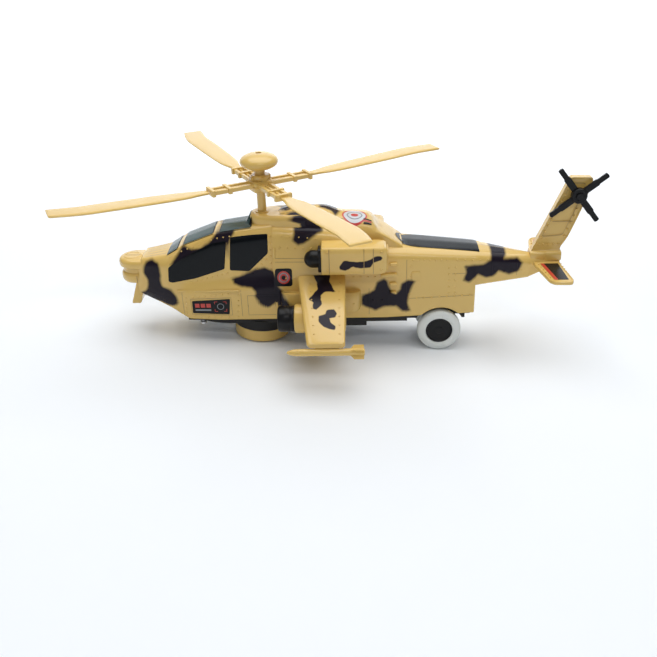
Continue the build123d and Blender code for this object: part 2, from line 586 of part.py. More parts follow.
BLADE_Y0 = -7.6
BLADE_Y1 = -5.6
tail_rotor = crosswise(6.0, -9.6, -4.4, TAIL_ROTOR_X, TAIL_ROTOR_Z)
for index in range(4):
    arm = block(0, TAIL_ROTOR_R, -2.7, 2.7, -1, 1)
    arm = Rot(0, -FIRST_TAIL_BLADE_ANGLE - 90 * index, 0) * Rot(90, 0, 0) * arm
    arm = Pos(TAIL_ROTOR_X, (BLADE_Y0 + BLADE_Y1) / 2, TAIL_ROTOR_Z) * arm
    tail_rotor = tail_rotor + arm
tail_rotor = tail_rotor - crosswise(TAIL_PIN_R + RUNNING_GAP, -12, 0, TAIL_ROTOR_X, TAIL_ROTOR_Z)
pin = crosswise(TAIL_PIN_R, -9.8, 1, TAIL_ROTOR_X, TAIL_ROTOR_Z)
pin = pin + crosswise(2.6, -10.9, -9.8, TAIL_ROTOR_X, TAIL_ROTOR_Z)
save("tail_rotor", settle(tail_rotor))
save("tail_rotor_pin", settle(pin))
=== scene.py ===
import math

import bmesh
import bpy
from mathutils import Matrix, Vector
from mathutils.bvhtree import BVHTree


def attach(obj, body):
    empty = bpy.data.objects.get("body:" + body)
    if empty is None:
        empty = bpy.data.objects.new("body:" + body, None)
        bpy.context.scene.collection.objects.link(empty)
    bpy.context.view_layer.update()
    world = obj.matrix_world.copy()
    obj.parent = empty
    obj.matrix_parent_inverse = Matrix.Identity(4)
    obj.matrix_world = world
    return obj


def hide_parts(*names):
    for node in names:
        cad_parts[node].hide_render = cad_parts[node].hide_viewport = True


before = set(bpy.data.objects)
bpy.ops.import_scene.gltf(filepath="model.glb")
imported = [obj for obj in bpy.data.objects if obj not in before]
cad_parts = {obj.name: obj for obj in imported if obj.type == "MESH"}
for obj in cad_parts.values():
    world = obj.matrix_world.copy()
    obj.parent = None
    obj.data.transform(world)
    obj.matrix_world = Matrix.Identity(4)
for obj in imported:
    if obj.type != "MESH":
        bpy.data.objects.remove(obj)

# Lengths below are millimetres.  Most pieces are drawn in the fuselage frame, where the belly
# and the deck are level; settle() tips them 3.8 degrees nose-down, as the toy stands.
PITCH = math.radians(3.8)
COS, SIN = math.cos(PITCH), math.sin(PITCH)
MIDDLE_X = 57.2  # the shared origin is this far behind the turret's axis, from which pieces are drawn

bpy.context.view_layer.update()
SIDES = ((-1, "left"), (1, "right"))


def settle(x, y, z):
    """A point of the fuselage frame, in millimetres, in the shared frame, in metres."""
    return Vector((x * COS - z * SIN - MIDDLE_X, y, x * SIN + z * COS)) / 1000


def level(x, y, z):
    """A point of a piece that stands level, in millimetres, in the shared frame, in metres."""
    return Vector((x - MIDDLE_X, y, z)) / 1000


# ------------------------------------------------------------------ camouflage
def polygon_distance(px, pz, outline):
    """Signed distance from a point to an outline, negative inside."""
    best = 1e9
    inside = False
    count = len(outline)
    for index in range(count):
        ax, az = outline[index]
        bx, bz = outline[(index + 1) % count]
        dx, dz = bx - ax, bz - az
        along = ((px - ax) * dx + (pz - az) * dz) / (dx * dx + dz * dz)
        along = min(max(along, 0), 1)
        gap = math.hypot(px - ax - along * dx, pz - az - along * dz)
        best = min(best, gap)
        if (az > pz) != (bz > pz) and px < (bx - ax) * (pz - az) / (bz - az) + ax:
            inside = not inside
    return -best if inside else best


# Outlines in the side view, (x, z).
SIDE_PATCHES = {
    "nose": [(-88, 65), (-86, 69), (-81, 71), (-76, 69), (-74, 63), (-75, 56), (-74, 50), (-67, 48),
             (-63, 42), (-62, 37), (-66, 33), (-71, 33), (-77, 35), (-84, 35), (-91, 38), (-94, 42),
             (-89, 44), (-87, 48), (-86, 54), (-89, 60)],
    "window_band": [(-66, 68), (-60, 76), (-55, 83), (-48, 80), (-41, 81.5), (-34, 86), (-29, 92),
                    (-21, 96.5), (-14, 98), (-15, 92), (-18, 88), (-20, 78), (-23, 77), (-22, 85),
                    (-30, 84), (-41, 78), (-53, 73), (-61, 67)],
    "centre": [(-19, 57), (-9, 60), (0, 64), (8, 66), (14, 63), (17, 58), (18, 50), (22, 46),
               (27, 41), (27, 35), (17, 34), (12, 35), (3, 30), (-4, 30), (-7, 35), (-2, 40),
               (0, 46), (-3, 50), (-11, 51), (-17, 53)],
    "rear": [(82, 43), (88, 44), (92, 47), (94, 53), (99, 56), (102, 54), (105, 46), (109, 43),
             (112, 46), (113, 51), (118, 54), (124, 53), (122, 49), (119, 42), (118, 34), (121, 27),
             (114, 27), (109, 32), (100, 32), (93, 29), (88, 31), (82, 34)],
    "boom": [(162, 63), (169, 63.5), (176, 63), (182, 66), (183, 76), (201, 76), (195, 69),
             (193, 65.5), (204, 65), (208, 61), (205, 54), (198, 52), (189, 56), (185, 52),
             (179, 51.5), (173, 55), (166, 49), (161, 51), (163, 57)],
}
# The patch that runs over the shoulder of the engine section.
SHOULDER_PATCH = [(31, 99), (33, 104), (44, 104), (52, 100), (53, 93), (46, 90), (39, 85),
                  (34, 83.5), (30, 87), (31, 92)]
NACELLE_PATCH = [(65.3, 72.4), (69, 77), (78, 76), (86.7, 76.6), (93, 80.4), (98, 80.3), (98, 77.2),
                 (91, 75), (89, 71.2), (82.4, 70.5), (75.3, 72), (71, 68.7), (66, 69.7)]
# Outlines seen from above, (x, y).
DECK_PATCHES = [
    [(12, 3), (14, 11), (22, 13), (29, 8), (31, -3), (25, -6), (20, -1)],
    [(21, -13), (27, -9), (31, -7), (38, -9), (50, -12), (53, -20), (31, -20), (25, -16)],
    [(33, 14), (46, 14), (46, 3), (35, 4)],
    [(49, 9), (63, 8), (66, -2), (63, -10), (60, -5), (51, -3)],
]
WING_PATCHES = [
    [(45, 24), (58, 24), (57.5, 32), (62, 43), (54, 42.5), (51, 46), (52.5, 55), (48, 61), (45.5, 59),
     (46, 53), (42, 50), (45.5, 45), (48.5, 40), (48, 33)],
    [(56, 61), (62, 60), (63.5, 65), (62, 68.5), (58, 69), (59, 73), (62.5, 77), (62, 80.5), (54, 77.5),
     (50, 72), (50, 66.5), (55, 65)],
]


def camo_side(x, y, z):
    return min(polygon_distance(x, z, outline) for outline in SIDE_PATCHES.values())


def camo_deck(x, y, z):
    return min(polygon_distance(x, y, outline) for outline in DECK_PATCHES)


def camo_fuselage(x, y, z):
    gap = camo_side(x, y, z)
    if 8 < x < 72 and z > 97:
        gap = min(gap, camo_deck(x, y, z))
    if 20 < x < 60 and 80 < z < 106 and abs(y) > 9:
        gap = min(gap, polygon_distance(x, z, SHOULDER_PATCH))
    return gap


# ------------------------------------------------------------------ materials
def node(tree, kind, **settings):
    """A new shader node with its properties set."""
    made = tree.nodes.new(kind)
    for key, value in settings.items():
        setattr(made, key, value)
    return made


def value_of(tree, kind, first, second=0.5, third=None):
    """A maths node; each input is a number or another node's output."""
    made = node(tree, "ShaderNodeMath", operation=kind)
    for slot_index, item in enumerate((first, second, third)):
        if item is None:
            continue
        if isinstance(item, (int, float)):
            made.inputs[slot_index].default_value = item
        else:
            tree.links.new(item, made.inputs[slot_index])
    return made.outputs[0]


def noise(tree, scale, detail=3.0, offset=(0, 0, 0)):
    """A noise value over the piece's own coordinates."""
    place = node(tree, "ShaderNodeTexCoord")
    shift = node(tree, "ShaderNodeMapping")
    shift.inputs["Location"].default_value = offset
    made = node(tree, "ShaderNodeTexNoise")
    made.inputs["Scale"].default_value = scale
    made.inputs["Detail"].default_value = detail
    tree.links.new(place.outputs["Object"], shift.inputs["Vector"])
    tree.links.new(shift.outputs[0], made.inputs["Vector"])
    return made.outputs["Fac"]


def blend_colours(tree, share, low, high):
    """Mixes two colours by a share; each of the three is a value or another node's output."""
    made = node(tree, "ShaderNodeMix", data_type="RGBA")
    for socket, item in ((0, share), (6, low), (7, high)):
        if isinstance(item, tuple):
            made.inputs[socket].default_value = (*item, 1)
        elif isinstance(item, (int, float)):
            made.inputs[socket].default_value = item
        else:
            tree.links.new(item, made.inputs[socket])
    return made.outputs[2]


PAINT_SPECULAR = 0.18


def finish_surface(name, light, dark, roughness, bump=0.02, grain=900, metallic=0.0, camo=None,
                   coat=0.0, specks=None, specular=0.5):
    """A plastic, rubber or metal finish with mottled colour, uneven gloss and fine grain."""
    material = bpy.data.materials.new(name)
    material.use_nodes = True
    tree = material.node_tree
    shader = tree.nodes["Principled BSDF"]
    broad = noise(tree, 28, 4)
    fine = noise(tree, grain, 4, (3, 1, 2))
    colour = blend_colours(tree, broad, dark, light)
    if camo is not None:
        stored = node(tree, "ShaderNodeAttribute", attribute_name="camo")
        wobble = value_of(tree, "MULTIPLY_ADD", noise(tree, 170, 2, (5, 5, 1)), 1.6, -0.8)
        edge = value_of(tree, "ADD", stored.outputs["Fac"], wobble)
        ramp = node(tree, "ShaderNodeMapRange", interpolation_type="SMOOTHSTEP")
        tree.links.new(edge, ramp.inputs["Value"])
        ramp.inputs["From Min"].default_value = -camo
        ramp.inputs["From Max"].default_value = camo
        ramp.inputs["To Min"].default_value = 1
        ramp.inputs["To Max"].default_value = 0
        paint = blend_colours(tree, broad, (0.006, 0.004, 0.009), (0.018, 0.012, 0.022))
        colour = blend_colours(tree, ramp.outputs[0], colour, paint)
        # The dark paint shines less than the bare plastic.
        shine = value_of(tree, "MULTIPLY_ADD", ramp.outputs[0], PAINT_SPECULAR - specular, specular)
        tree.links.new(shine, shader.inputs["Specular IOR Level"])
        sheen = value_of(tree, "MULTIPLY_ADD", ramp.outputs[0], -0.9 * coat, coat)
        tree.links.new(sheen, shader.inputs["Coat Weight"])
    else:
        shader.inputs["Specular IOR Level"].default_value = specular
        shader.inputs["Coat Weight"].default_value = coat
    if specks is not None:
        spots = node(tree, "ShaderNodeMapRange")
        tree.links.new(noise(tree, 420, 2, (7, 2, 4)), spots.inputs["Value"])
        spots.inputs["From Min"].default_value = 0.66
        spots.inputs["From Max"].default_value = 0.72
        colour = blend_colours(tree, value_of(tree, "MULTIPLY", spots.outputs[0], 0.5), colour, specks)
    tree.links.new(colour, shader.inputs["Base Color"])
    uneven = value_of(tree, "MULTIPLY_ADD", fine, 0.12, roughness - 0.06)
    tree.links.new(uneven, shader.inputs["Roughness"])
    if metallic:
        shader.inputs["Metallic"].default_value = metallic
    shader.inputs["Coat Roughness"].default_value = 0.08
    relief = node(tree, "ShaderNodeBump")
    relief.inputs["Strength"].default_value = bump
    relief.inputs["Distance"].default_value = 0.0004
    tree.links.new(fine, relief.inputs["Height"])
    tree.links.new(relief.outputs[0], shader.inputs["Normal"])
    return material


TAN_LIGHT = (0.76, 0.515, 0.145)
TAN_DARK = (0.71, 0.47, 0.125)
TAN = finish_surface("tan_plastic", TAN_LIGHT, TAN_DARK, 0.24, coat=0.3)
TAN_CAMO = finish_surface("tan_camo", TAN_LIGHT, TAN_DARK, 0.24, camo=1.5, coat=0.3)
TAN_CRISP = finish_surface("tan_camo_crisp", TAN_LIGHT, TAN_DARK, 0.24, camo=0.4, coat=0.3)
# Painted shade: the darker tan of the panel lines, seams and slots stands in for the shade inside the
# moulded grooves.
GROOVE_SHADE = finish_surface("groove_shade", (0.40, 0.26, 0.09), (0.34, 0.22, 0.07), 0.5)
GROOVE_SHADE_CAMO = finish_surface("groove_shade_camo", (0.40, 0.26, 0.09), (0.34, 0.22, 0.07), 0.5, camo=1.5)
BLACK = finish_surface("black_plastic", (0.010, 0.010, 0.011), (0.005, 0.005, 0.006), 0.3, specular=0.22)
BLACK_SATIN = finish_surface("black_satin", (0.02, 0.019, 0.018), (0.012, 0.012, 0.012), 0.42,
        specular=0.25)
GLASS = finish_surface("smoked_glazing", (0.004, 0.006, 0.008), (0.002, 0.003, 0.004), 0.12, specular=0.2)
# Painted light: the roof panes are the same smoked plastic as the side windows; their lighter grey-green
# colour stands in for the overhead light they reflect.
ROOF_GLAZING_PAINTED_LIGHT = finish_surface("smoked_roof_glazing_painted_light", (0.055, 0.095, 0.090), (0.035, 0.062, 0.060), 0.16,
        specular=0.15)
TYRE = finish_surface("pale_tyre", (0.80, 0.82, 0.79), (0.70, 0.73, 0.70), 0.5, bump=0.05, specks=(0.55,
        0.57, 0.54))
RUBBER = finish_surface("black_rubber", (0.02, 0.02, 0.02), (0.012, 0.012, 0.012), 0.7, bump=0.1)
STEEL = finish_surface("steel", (0.62, 0.62, 0.62), (0.48, 0.48, 0.50), 0.3, metallic=1.0)
GEAR = finish_surface("gear_plastic", (0.80, 0.80, 0.76), (0.72, 0.72, 0.67), 0.45)
CELL = finish_surface("cell_wrap", (0.06, 0.13, 0.30), (0.03, 0.08, 0.22), 0.3, specks=(0.2, 0.3, 0.5))
BOARD = finish_surface("circuit_board", (0.03, 0.22, 0.08), (0.02, 0.14, 0.05), 0.35, specks=(0.5, 0.45,
        0.2))
RED = finish_surface("decal_red", (0.62, 0.045, 0.03), (0.50, 0.03, 0.02), 0.3, coat=0.4)
# Black for the printed markings, also used as painted shade in the gaps round the windows and roof panes.
DECAL_BLACK_AND_GAP_SHADE = finish_surface("decal_black_and_gap_shade", (0.014, 0.014, 0.016), (0.005, 0.005, 0.006), 0.25,
        specular=0.2)
WHITE = finish_surface("decal_white", (0.66, 0.68, 0.70), (0.55, 0.57, 0.60), 0.3, coat=0.4)
GREY = finish_surface("decal_grey", (0.26, 0.28, 0.30), (0.20, 0.22, 0.24), 0.3, coat=0.4)

# Material, body and slot of the pieces that share them.
TAN_HULL = (TAN, "fuselage", "tan_plastic")
CAMO_HULL = (TAN_CAMO, "fuselage", "tan_plastic")
CRISP_HULL = (TAN_CRISP, "fuselage", "tan_plastic")
GROOVE_SHADE_HULL = (GROOVE_SHADE, "fuselage", "tan_plastic")
BLACK_HULL = (BLACK, "fuselage", "black_plastic")
SATIN_HULL = (BLACK_SATIN, "fuselage", "black_plastic")
TAN_ROTOR = (TAN, "main_rotor", "tan_plastic")
TAN_TURRET = (TAN, "turret", "tan_plastic")
BLACK_TAIL_ROTOR = (BLACK, "tail_rotor", "black_plastic")
BLACK_WHEEL = (BLACK, "rear_wheels", "black_plastic")
PALE_WHEEL = (TYRE, "rear_wheels", "pale_tyre")


# ------------------------------------------------------------------ mesh helpers
BOX_FACES = [(0, 1, 2, 3), (7, 6, 5, 4), (0, 4, 5, 1), (1, 5, 6, 2), (2, 6, 7, 3), (3, 7, 4, 0)]


def add_piece(name, points, faces, material, body, slot, place=settle, smooth=True, camo=None,
        split=None):
    """Makes one mesh piece that rides on a body; points are millimetres, camo a function of a point."""
    mesh = bpy.data.meshes.new(name)
    mesh.from_pydata([place(*p) for p in points], [], faces)
    mesh.validate()
    if camo:
        stored = mesh.attributes.new("camo", "FLOAT", "POINT")
        stored.data.foreach_set("value", [camo(*p) for p in points])
    mesh.materials.append(material)
    made = bpy.data.objects.new(name, mesh)
    bpy.context.scene.collection.objects.link(made)
    for face in mesh.polygons:
        face.use_smooth = smooth
    if split is not None:
        mesh.set_sharp_from_angle(angle=math.radians(split))
    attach(made, body)
    return made


def soften(piece, width, segments=3, angle=30):
    """Rounds a piece's edges."""
    rounding = piece.modifiers.new("rounding", "BEVEL")
    rounding.width = width / 1000
    rounding.segments = segments
    rounding.limit_method = "ANGLE"
    rounding.angle_limit = math.radians(angle)
    rounding.harden_normals = True
    return piece


def rounded(corners, radii, steps=4, closed=True):
    """An outline whose corners are rounded; an open outline keeps its two ends."""
    count = len(corners)
    made = []
    for index, corner in enumerate(corners):
        if not closed and index in (0, count - 1):
            made.append(corner)
            continue
        radius = radii[index] if isinstance(radii, (list, tuple)) else radii
        here = Vector(corner)
        back = Vector(corners[index - 1]) - here
        ahead = Vector(corners[(index + 1) % count]) - here
        reach = min(radius, back.length * 0.48, ahead.length * 0.48)
        start = here + back.normalized() * reach
        end = here + ahead.normalized() * reach
        for step in range(steps + 1):
            t = step / steps
            point = start * (1 - t) ** 2 + here * 2 * t * (1 - t) + end * t * t
            made.append(tuple(point))
    return made


def ring_faces(rings, width, capped=True):
    """Quads between rings of equally many points; capped also fills both ends."""
    faces = []
    for ring in range(rings - 1):
        for step in range(width):
            a = ring * width + step
            b = ring * width + (step + 1) % width
            faces.append((a, b, b + width, a + width))
    if capped:
        faces.append(tuple(reversed(range(width))))
        faces.append(tuple((rings - 1) * width + step for step in range(width)))
    return faces


def prism(outline, low, high, axis="y"):
    """Points and faces of an outline pushed along an axis, from low to high."""
    points = []
    for depth in (low, high):
        for a, b in outline:
            points.append({"x": (depth, a, b), "y": (a, depth, b), "z": (a, b, depth)}[axis])
    return points, ring_faces(2, len(outline))


def lathe(profile, centre, axis="x", steps=48, closed=True):
    """Points and faces of a profile of (radius, distance along the axis) turned about the axis.

    closed fills both ends; a ring goes back to its first point instead and isn't filled.
    """
    points = []
    for radius, along in profile:
        for step in range(steps):
            turn = 2 * math.pi * step / steps
            c, s = radius * math.cos(turn), radius * math.sin(turn)
            offset = {"x": (along, c, s), "y": (c, along, s), "z": (c, s, along)}[axis]
            points.append(tuple(centre[i] + offset[i] for i in range(3)))
    return points, ring_faces(len(profile), steps, capped=closed)


def stacked(levels, outline_at):
    """Points and faces of an outline in plan, drawn smaller by each level's first number at its height."""
    points, width = [], 0
    for shrink, z in levels:
        outline = outline_at(shrink)
        width = len(outline)
        points += [(x, y, z) for x, y in outline]
    return points, ring_faces(len(levels), width)


def studs(name, spots, profile, axis, steps=8):
    """Rivet heads away from the fuselage skin, one mesh; the profile is as in lathe."""
    points, faces = [], []
    for spot in spots:
        head, around = lathe(profile, spot, axis, steps)
        faces += [tuple(len(points) + i for i in face) for face in around]
        points += head
    return add_piece(name, points, faces, *TAN_HULL)


# ------------------------------------------------------------------ fuselage skin
# Stations: x, then half outline from belly to crown: (half-width, level) seven times.
NOSE_AND_CANOPY = [
    (-95.0, [(0, 39.5), (9, 39.5), (12, 43), (12.8, 48), (10.2, 56), (10, 64), (0, 66)]),
    (-90.0, [(0, 38), (11, 38), (14, 44), (14.5, 56), (14, 66), (12.5, 70.5), (0, 70.8)]),
    (-80.0, [(0, 34.5), (14.5, 34.5), (17.5, 42), (18, 55), (16.5, 67.5), (13.8, 72.2), (0, 72.8)]),
    (-69.0, [(0, 30), (18, 30), (21, 40), (21.5, 54), (19.4, 69), (15.1, 74.2), (0, 75)]),
    (-55.0, [(0, 22.5), (23, 22.5), (25, 44), (22, 53), (18.8, 75.8), (15.1, 82.6), (0, 83.5)]),
    (-30.0, [(0, 21.7), (24.5, 21.7), (25.3, 46), (22, 54), (18.4, 85.8), (15.1, 91.9), (0, 92.9)]),
    (-10.0, [(0, 21.7), (24.5, 21.7), (25.3, 47), (22.2, 56), (18.3, 88.5), (15.2, 94.7), (0, 95.8)]),
    (14.6, [(0, 21.7), (24.5, 21.7), (25.3, 49), (22.4, 58), (18.3, 91.5), (15.3, 97.9), (0, 99.3)]),
]
ENGINE = [
    (14.5, [(0, 21.7), (24.6, 21.7), (25, 44), (25, 62), (20, 92), (16.4, 96.5), (0, 97.4)]),
    (60.0, [(0, 21.7), (24.5, 21.7), (24.8, 44), (24.8, 61), (20.5, 89), (16.2, 94.3), (0, 95.2)]),
    (103.0, [(0, 21.7), (24.4, 21.7), (24.6, 44), (24.4, 60), (22.5, 76.5), (15.5, 81.6), (0, 82.6)]),
]
REAR = [
    (103.0, [(0, 21.7), (24.2, 21.7), (24.4, 44), (24.2, 60), (22.5, 75), (16, 79), (0, 80)]),
    (171.0, [(0, 21.7), (18, 21.7), (18.5, 40), (18.5, 55), (17.5, 69), (12.5, 72.5), (0, 73.8)]),
]
BOOM = [
    (171.0, [(0, 44.8), (16.5, 44.8), (17.5, 50), (18, 60), (17.5, 69), (12.5, 72.5), (0, 73.8)]),
    (214.2, [(0, 47), (6.5, 47), (7.5, 50), (8, 55), (8, 61), (5, 64.5), (0, 66)]),
]
CORNER_RADII = [0, 2.5, 5, 4.5, 4, 2.6, 0]


def smooth_station(stations, x):
    """The half outline at x, between the two nearest stations."""
    for (x0, a), (x1, b) in zip(stations, stations[1:]):
        if x <= x1 + 1e-6:
            t = min(max((x - x0) / (x1 - x0), 0), 1)
            return [(p[0] * (1 - t) + q[0] * t, p[1] * (1 - t) + q[1] * t) for p, q in zip(a, b)]
    return stations[-1][1]


def subdivide(outline, spacing):
    """Adds points along the long runs of an open outline."""
    made = [outline[0]]
    for a, b in zip(outline, outline[1:]):
        gap = math.hypot(b[0] - a[0], b[1] - a[1])
        parts = max(1, round(gap / spacing))
        for part in range(1, parts + 1):
            t = part / parts
            made.append((a[0] * (1 - t) + b[0] * t, a[1] * (1 - t) + b[1] * t))
    return made


def fuselage_ring(x, half, runs):
    """Both sides of a half outline at x, with a fixed number of points along each of its runs."""
    dense = [half[0]]
    for (a, b), parts in zip(zip(half, half[1:]), runs):
        for part in range(1, parts + 1):
            t = part / parts
            dense.append((a[0] * (1 - t) + b[0] * t, a[1] * (1 - t) + b[1] * t))
    other = [(-y, z) for y, z in reversed(dense[1:-1])]
    return [(x, -y, z) for y, z in dense + other]


def run_counts(half, spacing):
    """How many points each run of a half outline gets; kept the same for every ring of a skin."""
    return [max(1, round(math.hypot(b[0] - a[0], b[1] - a[1]) / spacing)) for a, b in zip(half, half[1:])]


def skin(stations, step=1.8, radii=CORNER_RADII, lowest=None):
    """A fuselage stretch as rings of points, rounded at its corners, both sides.

    lowest gives the level that nothing goes below, at each x.
    """
    first, last = stations[0][0], stations[-1][0]
    count = max(2, round((last - first) / step) + 1)
    runs = run_counts(rounded(smooth_station(stations, first), radii, 5, closed=False), 2.0)
    rings = []
    for index in range(count):
        x = first + (last - first) * index / (count - 1)
        half = rounded(smooth_station(stations, x), radii, 5, closed=False)
        ring = fuselage_ring(x, half, runs)
        if lowest:
            ring = [(a, y, max(z, lowest(a))) for a, y, z in ring]
        rings.append(ring)
    return [p for ring in rings for p in ring], ring_faces(len(rings), len(rings[0]))


# The rear wheel arch, in the fuselage frame.
ARCH_X, ARCH_Z, ARCH_R = 143.8, 8.0, 20.5


def arch_level(x):
    """The level of the arch's edge above the rear wheel; 0 away from it."""
    away = ARCH_R ** 2 - (x - ARCH_X) ** 2
    return ARCH_Z + math.sqrt(away) if away > 0 else 0


skin_parts = []


def add_skin(name, points, faces):
    """A painted piece of the fuselage's surface, which the films and rivets are laid on."""
    made = add_piece(name, points, faces, *CAMO_HULL, camo=camo_fuselage, split=32)
    skin_parts.append(made)
    return made


canopy_skin = add_skin("skin_canopy", *skin(NOSE_AND_CANOPY))
add_skin("skin_engine", *skin(ENGINE))
add_skin("skin_rear", *skin(REAR, 0.9, lowest=arch_level))
add_skin("skin_boom", *skin(BOOM))
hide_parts("body_shell_left", "body_shell_right", "canopy_glazing", "boom_glazing")

HUMP_TOP = [(14.5, 97), (17, 103.5), (24, 107), (40, 107.8), (52, 107.8), (58, 106.6), (64, 103.4),
            (72, 102.4), (86, 101.5), (91, 99), (95.5, 91.5), (100, 89.2), (114, 79.6)]
HUMP_HALF = [(14.5, 14.2), (18, 15.4), (30, 15.8), (60, 16.2), (92, 16.8), (98, 16.4), (114, 14.6)]
HUMP_FOOT = 78.0
HUMP_WALL = 91.0


def along_line(line, x):
    """The height, or the half-width, that a line of (x, value) points has at x."""
    for (x0, a), (x1, b) in zip(line, line[1:]):
        if x <= x1:
            return a + (b - a) * max(0, (x - x0)) / (x1 - x0)
    return line[-1][1]


def hump_skin(step=1.5):
    """The rounded cowling over the gearbox and the ramp behind it."""
    smooth_top = rounded(HUMP_TOP, 4, 4, closed=False)
    first, last = HUMP_TOP[0][0], HUMP_TOP[-1][0]
    count = round((last - first) / step) + 1
    runs = None
    rings = []
    for index in range(count):
        x = first + (last - first) * index / (count - 1)
        top = along_line(smooth_top, x)
        half = along_line(HUMP_HALF, x)
        shoulder = min(HUMP_WALL, top - 1.0)
        rise = top - shoulder
        section = [(0, HUMP_FOOT), (half + 0.5, HUMP_FOOT), (half, shoulder), (half - 1.5,
                shoulder + 0.5 * rise), (half - 6, shoulder + 0.88 * rise), (0, top)]
        outline = rounded(section, [0, 0, 2, 4, 5, 0], 4, closed=False)
        if runs is None:
            runs = run_counts(outline, 1.6)
        rings.append(fuselage_ring(x, outline, runs))
    return [p for ring in rings for p in ring], ring_faces(len(rings), len(rings[0]))


add_skin("skin_hump", *hump_skin())

# The rounded collar in front of the cowling, round the foot of the mast.
COLLAR_X, COLLAR_R = 8.6, 12.6
COLLAR_END = 40


def collar_outline(shrink):
    reach = COLLAR_R - shrink
    arc = [math.pi / 2 + math.pi * step / 20 for step in range(21)]
    outline = [(COLLAR_X + reach * math.cos(turn), reach * math.sin(turn)) for turn in arc]
    return outline + [(17, -15.2 + shrink), (COLLAR_END, -15 + shrink), (COLLAR_END, 15 - shrink), (17,
            15.2 - shrink)]


COLLAR_LEVELS = [(0, 88), (0, 100.6), (0.25, 102), (0.9, 103.1), (1.9, 103.7), (3.4, 103.9)]
add_skin("mast_collar", *stacked(COLLAR_LEVELS, collar_outline))

# The flat-topped bulge with rounded ends along each side.
BULGE_FRONT, BULGE_REAR = 26.5, 73.5
BULGE_Y, BULGE_R = 23, 8.5
for side, tag in SIDES:
    plan = []
    for end, start in ((BULGE_FRONT, math.pi / 2), (BULGE_REAR, -math.pi / 2)):
        for step in range(13):
            turn = start + math.pi * step / 12
            plan.append((end + BULGE_R * math.cos(turn), side * (BULGE_Y + BULGE_R * math.sin(turn))))
    points = []
    for shrink, height in ((3.5, 29), (1.2, 30.2), (0.2, 33), (0, 37), (0, 46.2), (0.5, 47)):
        for x, y in plan:
            middle = min(max(x, BULGE_FRONT), BULGE_REAR)
            away = Vector((x - middle, y - side * BULGE_Y))
            if away.length > 0:
                away = away.normalized() * (BULGE_R - shrink)
            points.append((middle + away.x, side * BULGE_Y + away.y, height))
    add_skin(f"side_bulge_{tag}", points, ring_faces(6, len(plan)))


def combined_tree(objects):
    points, polygons = [], []
    for item in objects:
        base = len(points)
        points.extend(item.matrix_world @ v.co for v in item.data.vertices)
        polygons.extend([base + i for i in face.vertices] for face in item.data.polygons)
    return BVHTree.FromPolygons(points, polygons)


bpy.context.view_layer.update()
skin_tree = combined_tree(skin_parts)


def on_side(x, z, side=-1, lift=0.1):
    """The skin's surface at (x, z) of the side view, lifted off by a little; None where it misses."""
    start = settle(x, side * 90, z)
    hit, normal, _, _ = skin_tree.ray_cast(start, Vector((0, -side, 0)))
    if hit is None:
        return None, None
    if normal.y * side < 0:
        normal = -normal
    return hit + normal * lift / 1000, normal


def on_top(x, y, lift=0.1):
    """The skin's surface at (x, y) seen from above, lifted off by a little; None where it misses."""
    start = settle(x, y, 160)
    down = (settle(x, y, 0) - start).normalized()
    hit, normal, _, _ = skin_tree.ray_cast(start, down)
    if hit is None:
        return None, None
    if normal.z < 0:
        normal = -normal
    return hit + normal * lift / 1000, normal


def direct(x, y, z):
    """For points that are in the shared frame already, in metres."""
    return Vector((x, y, z))


def fill_outline(outline, spacing):
    """A regular grid of quads clipped to an outline, with the outline as its border."""
    mesh = bmesh.new()
    corners = [mesh.verts.new((a, b, 0)) for a, b in outline]
    mesh.faces.new(corners)
    low_a, high_a = min(a for a, _ in outline), max(a for a, _ in outline)
    low_b, high_b = min(b for _, b in outline), max(b for _, b in outline)
    for axis, low, high in ((0, low_a, high_a), (1, low_b, high_b)):
        cuts = int((high - low) / spacing)
        for cut in range(1, cuts + 1):
            point = [0, 0, 0]
            point[axis] = low + cut * spacing
            normal = [0, 0, 0]
            normal[axis] = 1
            everything = mesh.verts[:] + mesh.edges[:] + mesh.faces[:]
            bmesh.ops.bisect_plane(mesh, geom=everything, plane_co=point, plane_no=normal)
    mesh.verts.index_update()
    points = [(v.co.x, v.co.y) for v in mesh.verts]
    faces = [tuple(v.index for v in f.verts) for f in mesh.faces]
    mesh.free()
    return points, faces


def patch(name, outline, material, view="side", side=-1, lift=0.15, spacing=2.5, slot="tan_plastic"):
    """A thin film laid on the skin inside an outline."""
    flat, faces = fill_outline(outline, spacing)
    points = []
    for a, b in flat:
        spot, _ = on_side(a, b, side, lift) if view == "side" else on_top(a, b, lift)
        if spot is None:
            return None
        points.append(tuple(spot))
    return add_piece(name, points, faces, material, "fuselage", slot, place=direct)


def ribbon(name, line, width, material=GROOVE_SHADE_CAMO, view="side", side=-1, lift=0.05, spacing=3.0):
    """A narrow strip along a line on the skin: a moulded panel line; its default finish is painted shade, a
    darker tan standing for the shade in the groove.
    """
    dense_line = subdivide(line, spacing)
    points = []
    for index, (a, b) in enumerate(dense_line):
        before = dense_line[max(index - 1, 0)]
        after = dense_line[min(index + 1, len(dense_line) - 1)]
        run = Vector((after[0] - before[0], after[1] - before[1])).normalized()
        for way in (-0.5, 0.5):
            pa, pb = a - run.y * width * way, b + run.x * width * way
            spot, _ = on_side(pa, pb, side, lift) if view == "side" else on_top(pa, pb, lift)
            if spot is None:
                return None
            points.append(tuple(spot))
    faces = [(2 * i, 2 * i + 1, 2 * i + 3, 2 * i + 2) for i in range(len(dense_line) - 1)]
    made = add_piece(name, points, faces, material, "fuselage", "tan_plastic", place=direct)
    store_camo(made, [camo_side(a, 0, b) if view == "side" else 9.0 for a, b in dense_line for _ in (0,
            1)])
    return made


def store_camo(piece, distances):
    """Keeps each point's distance from the camouflage's edge, for the paint to read."""
    stored = piece.data.attributes.new("camo", "FLOAT", "POINT")
    stored.data.foreach_set("value", distances)


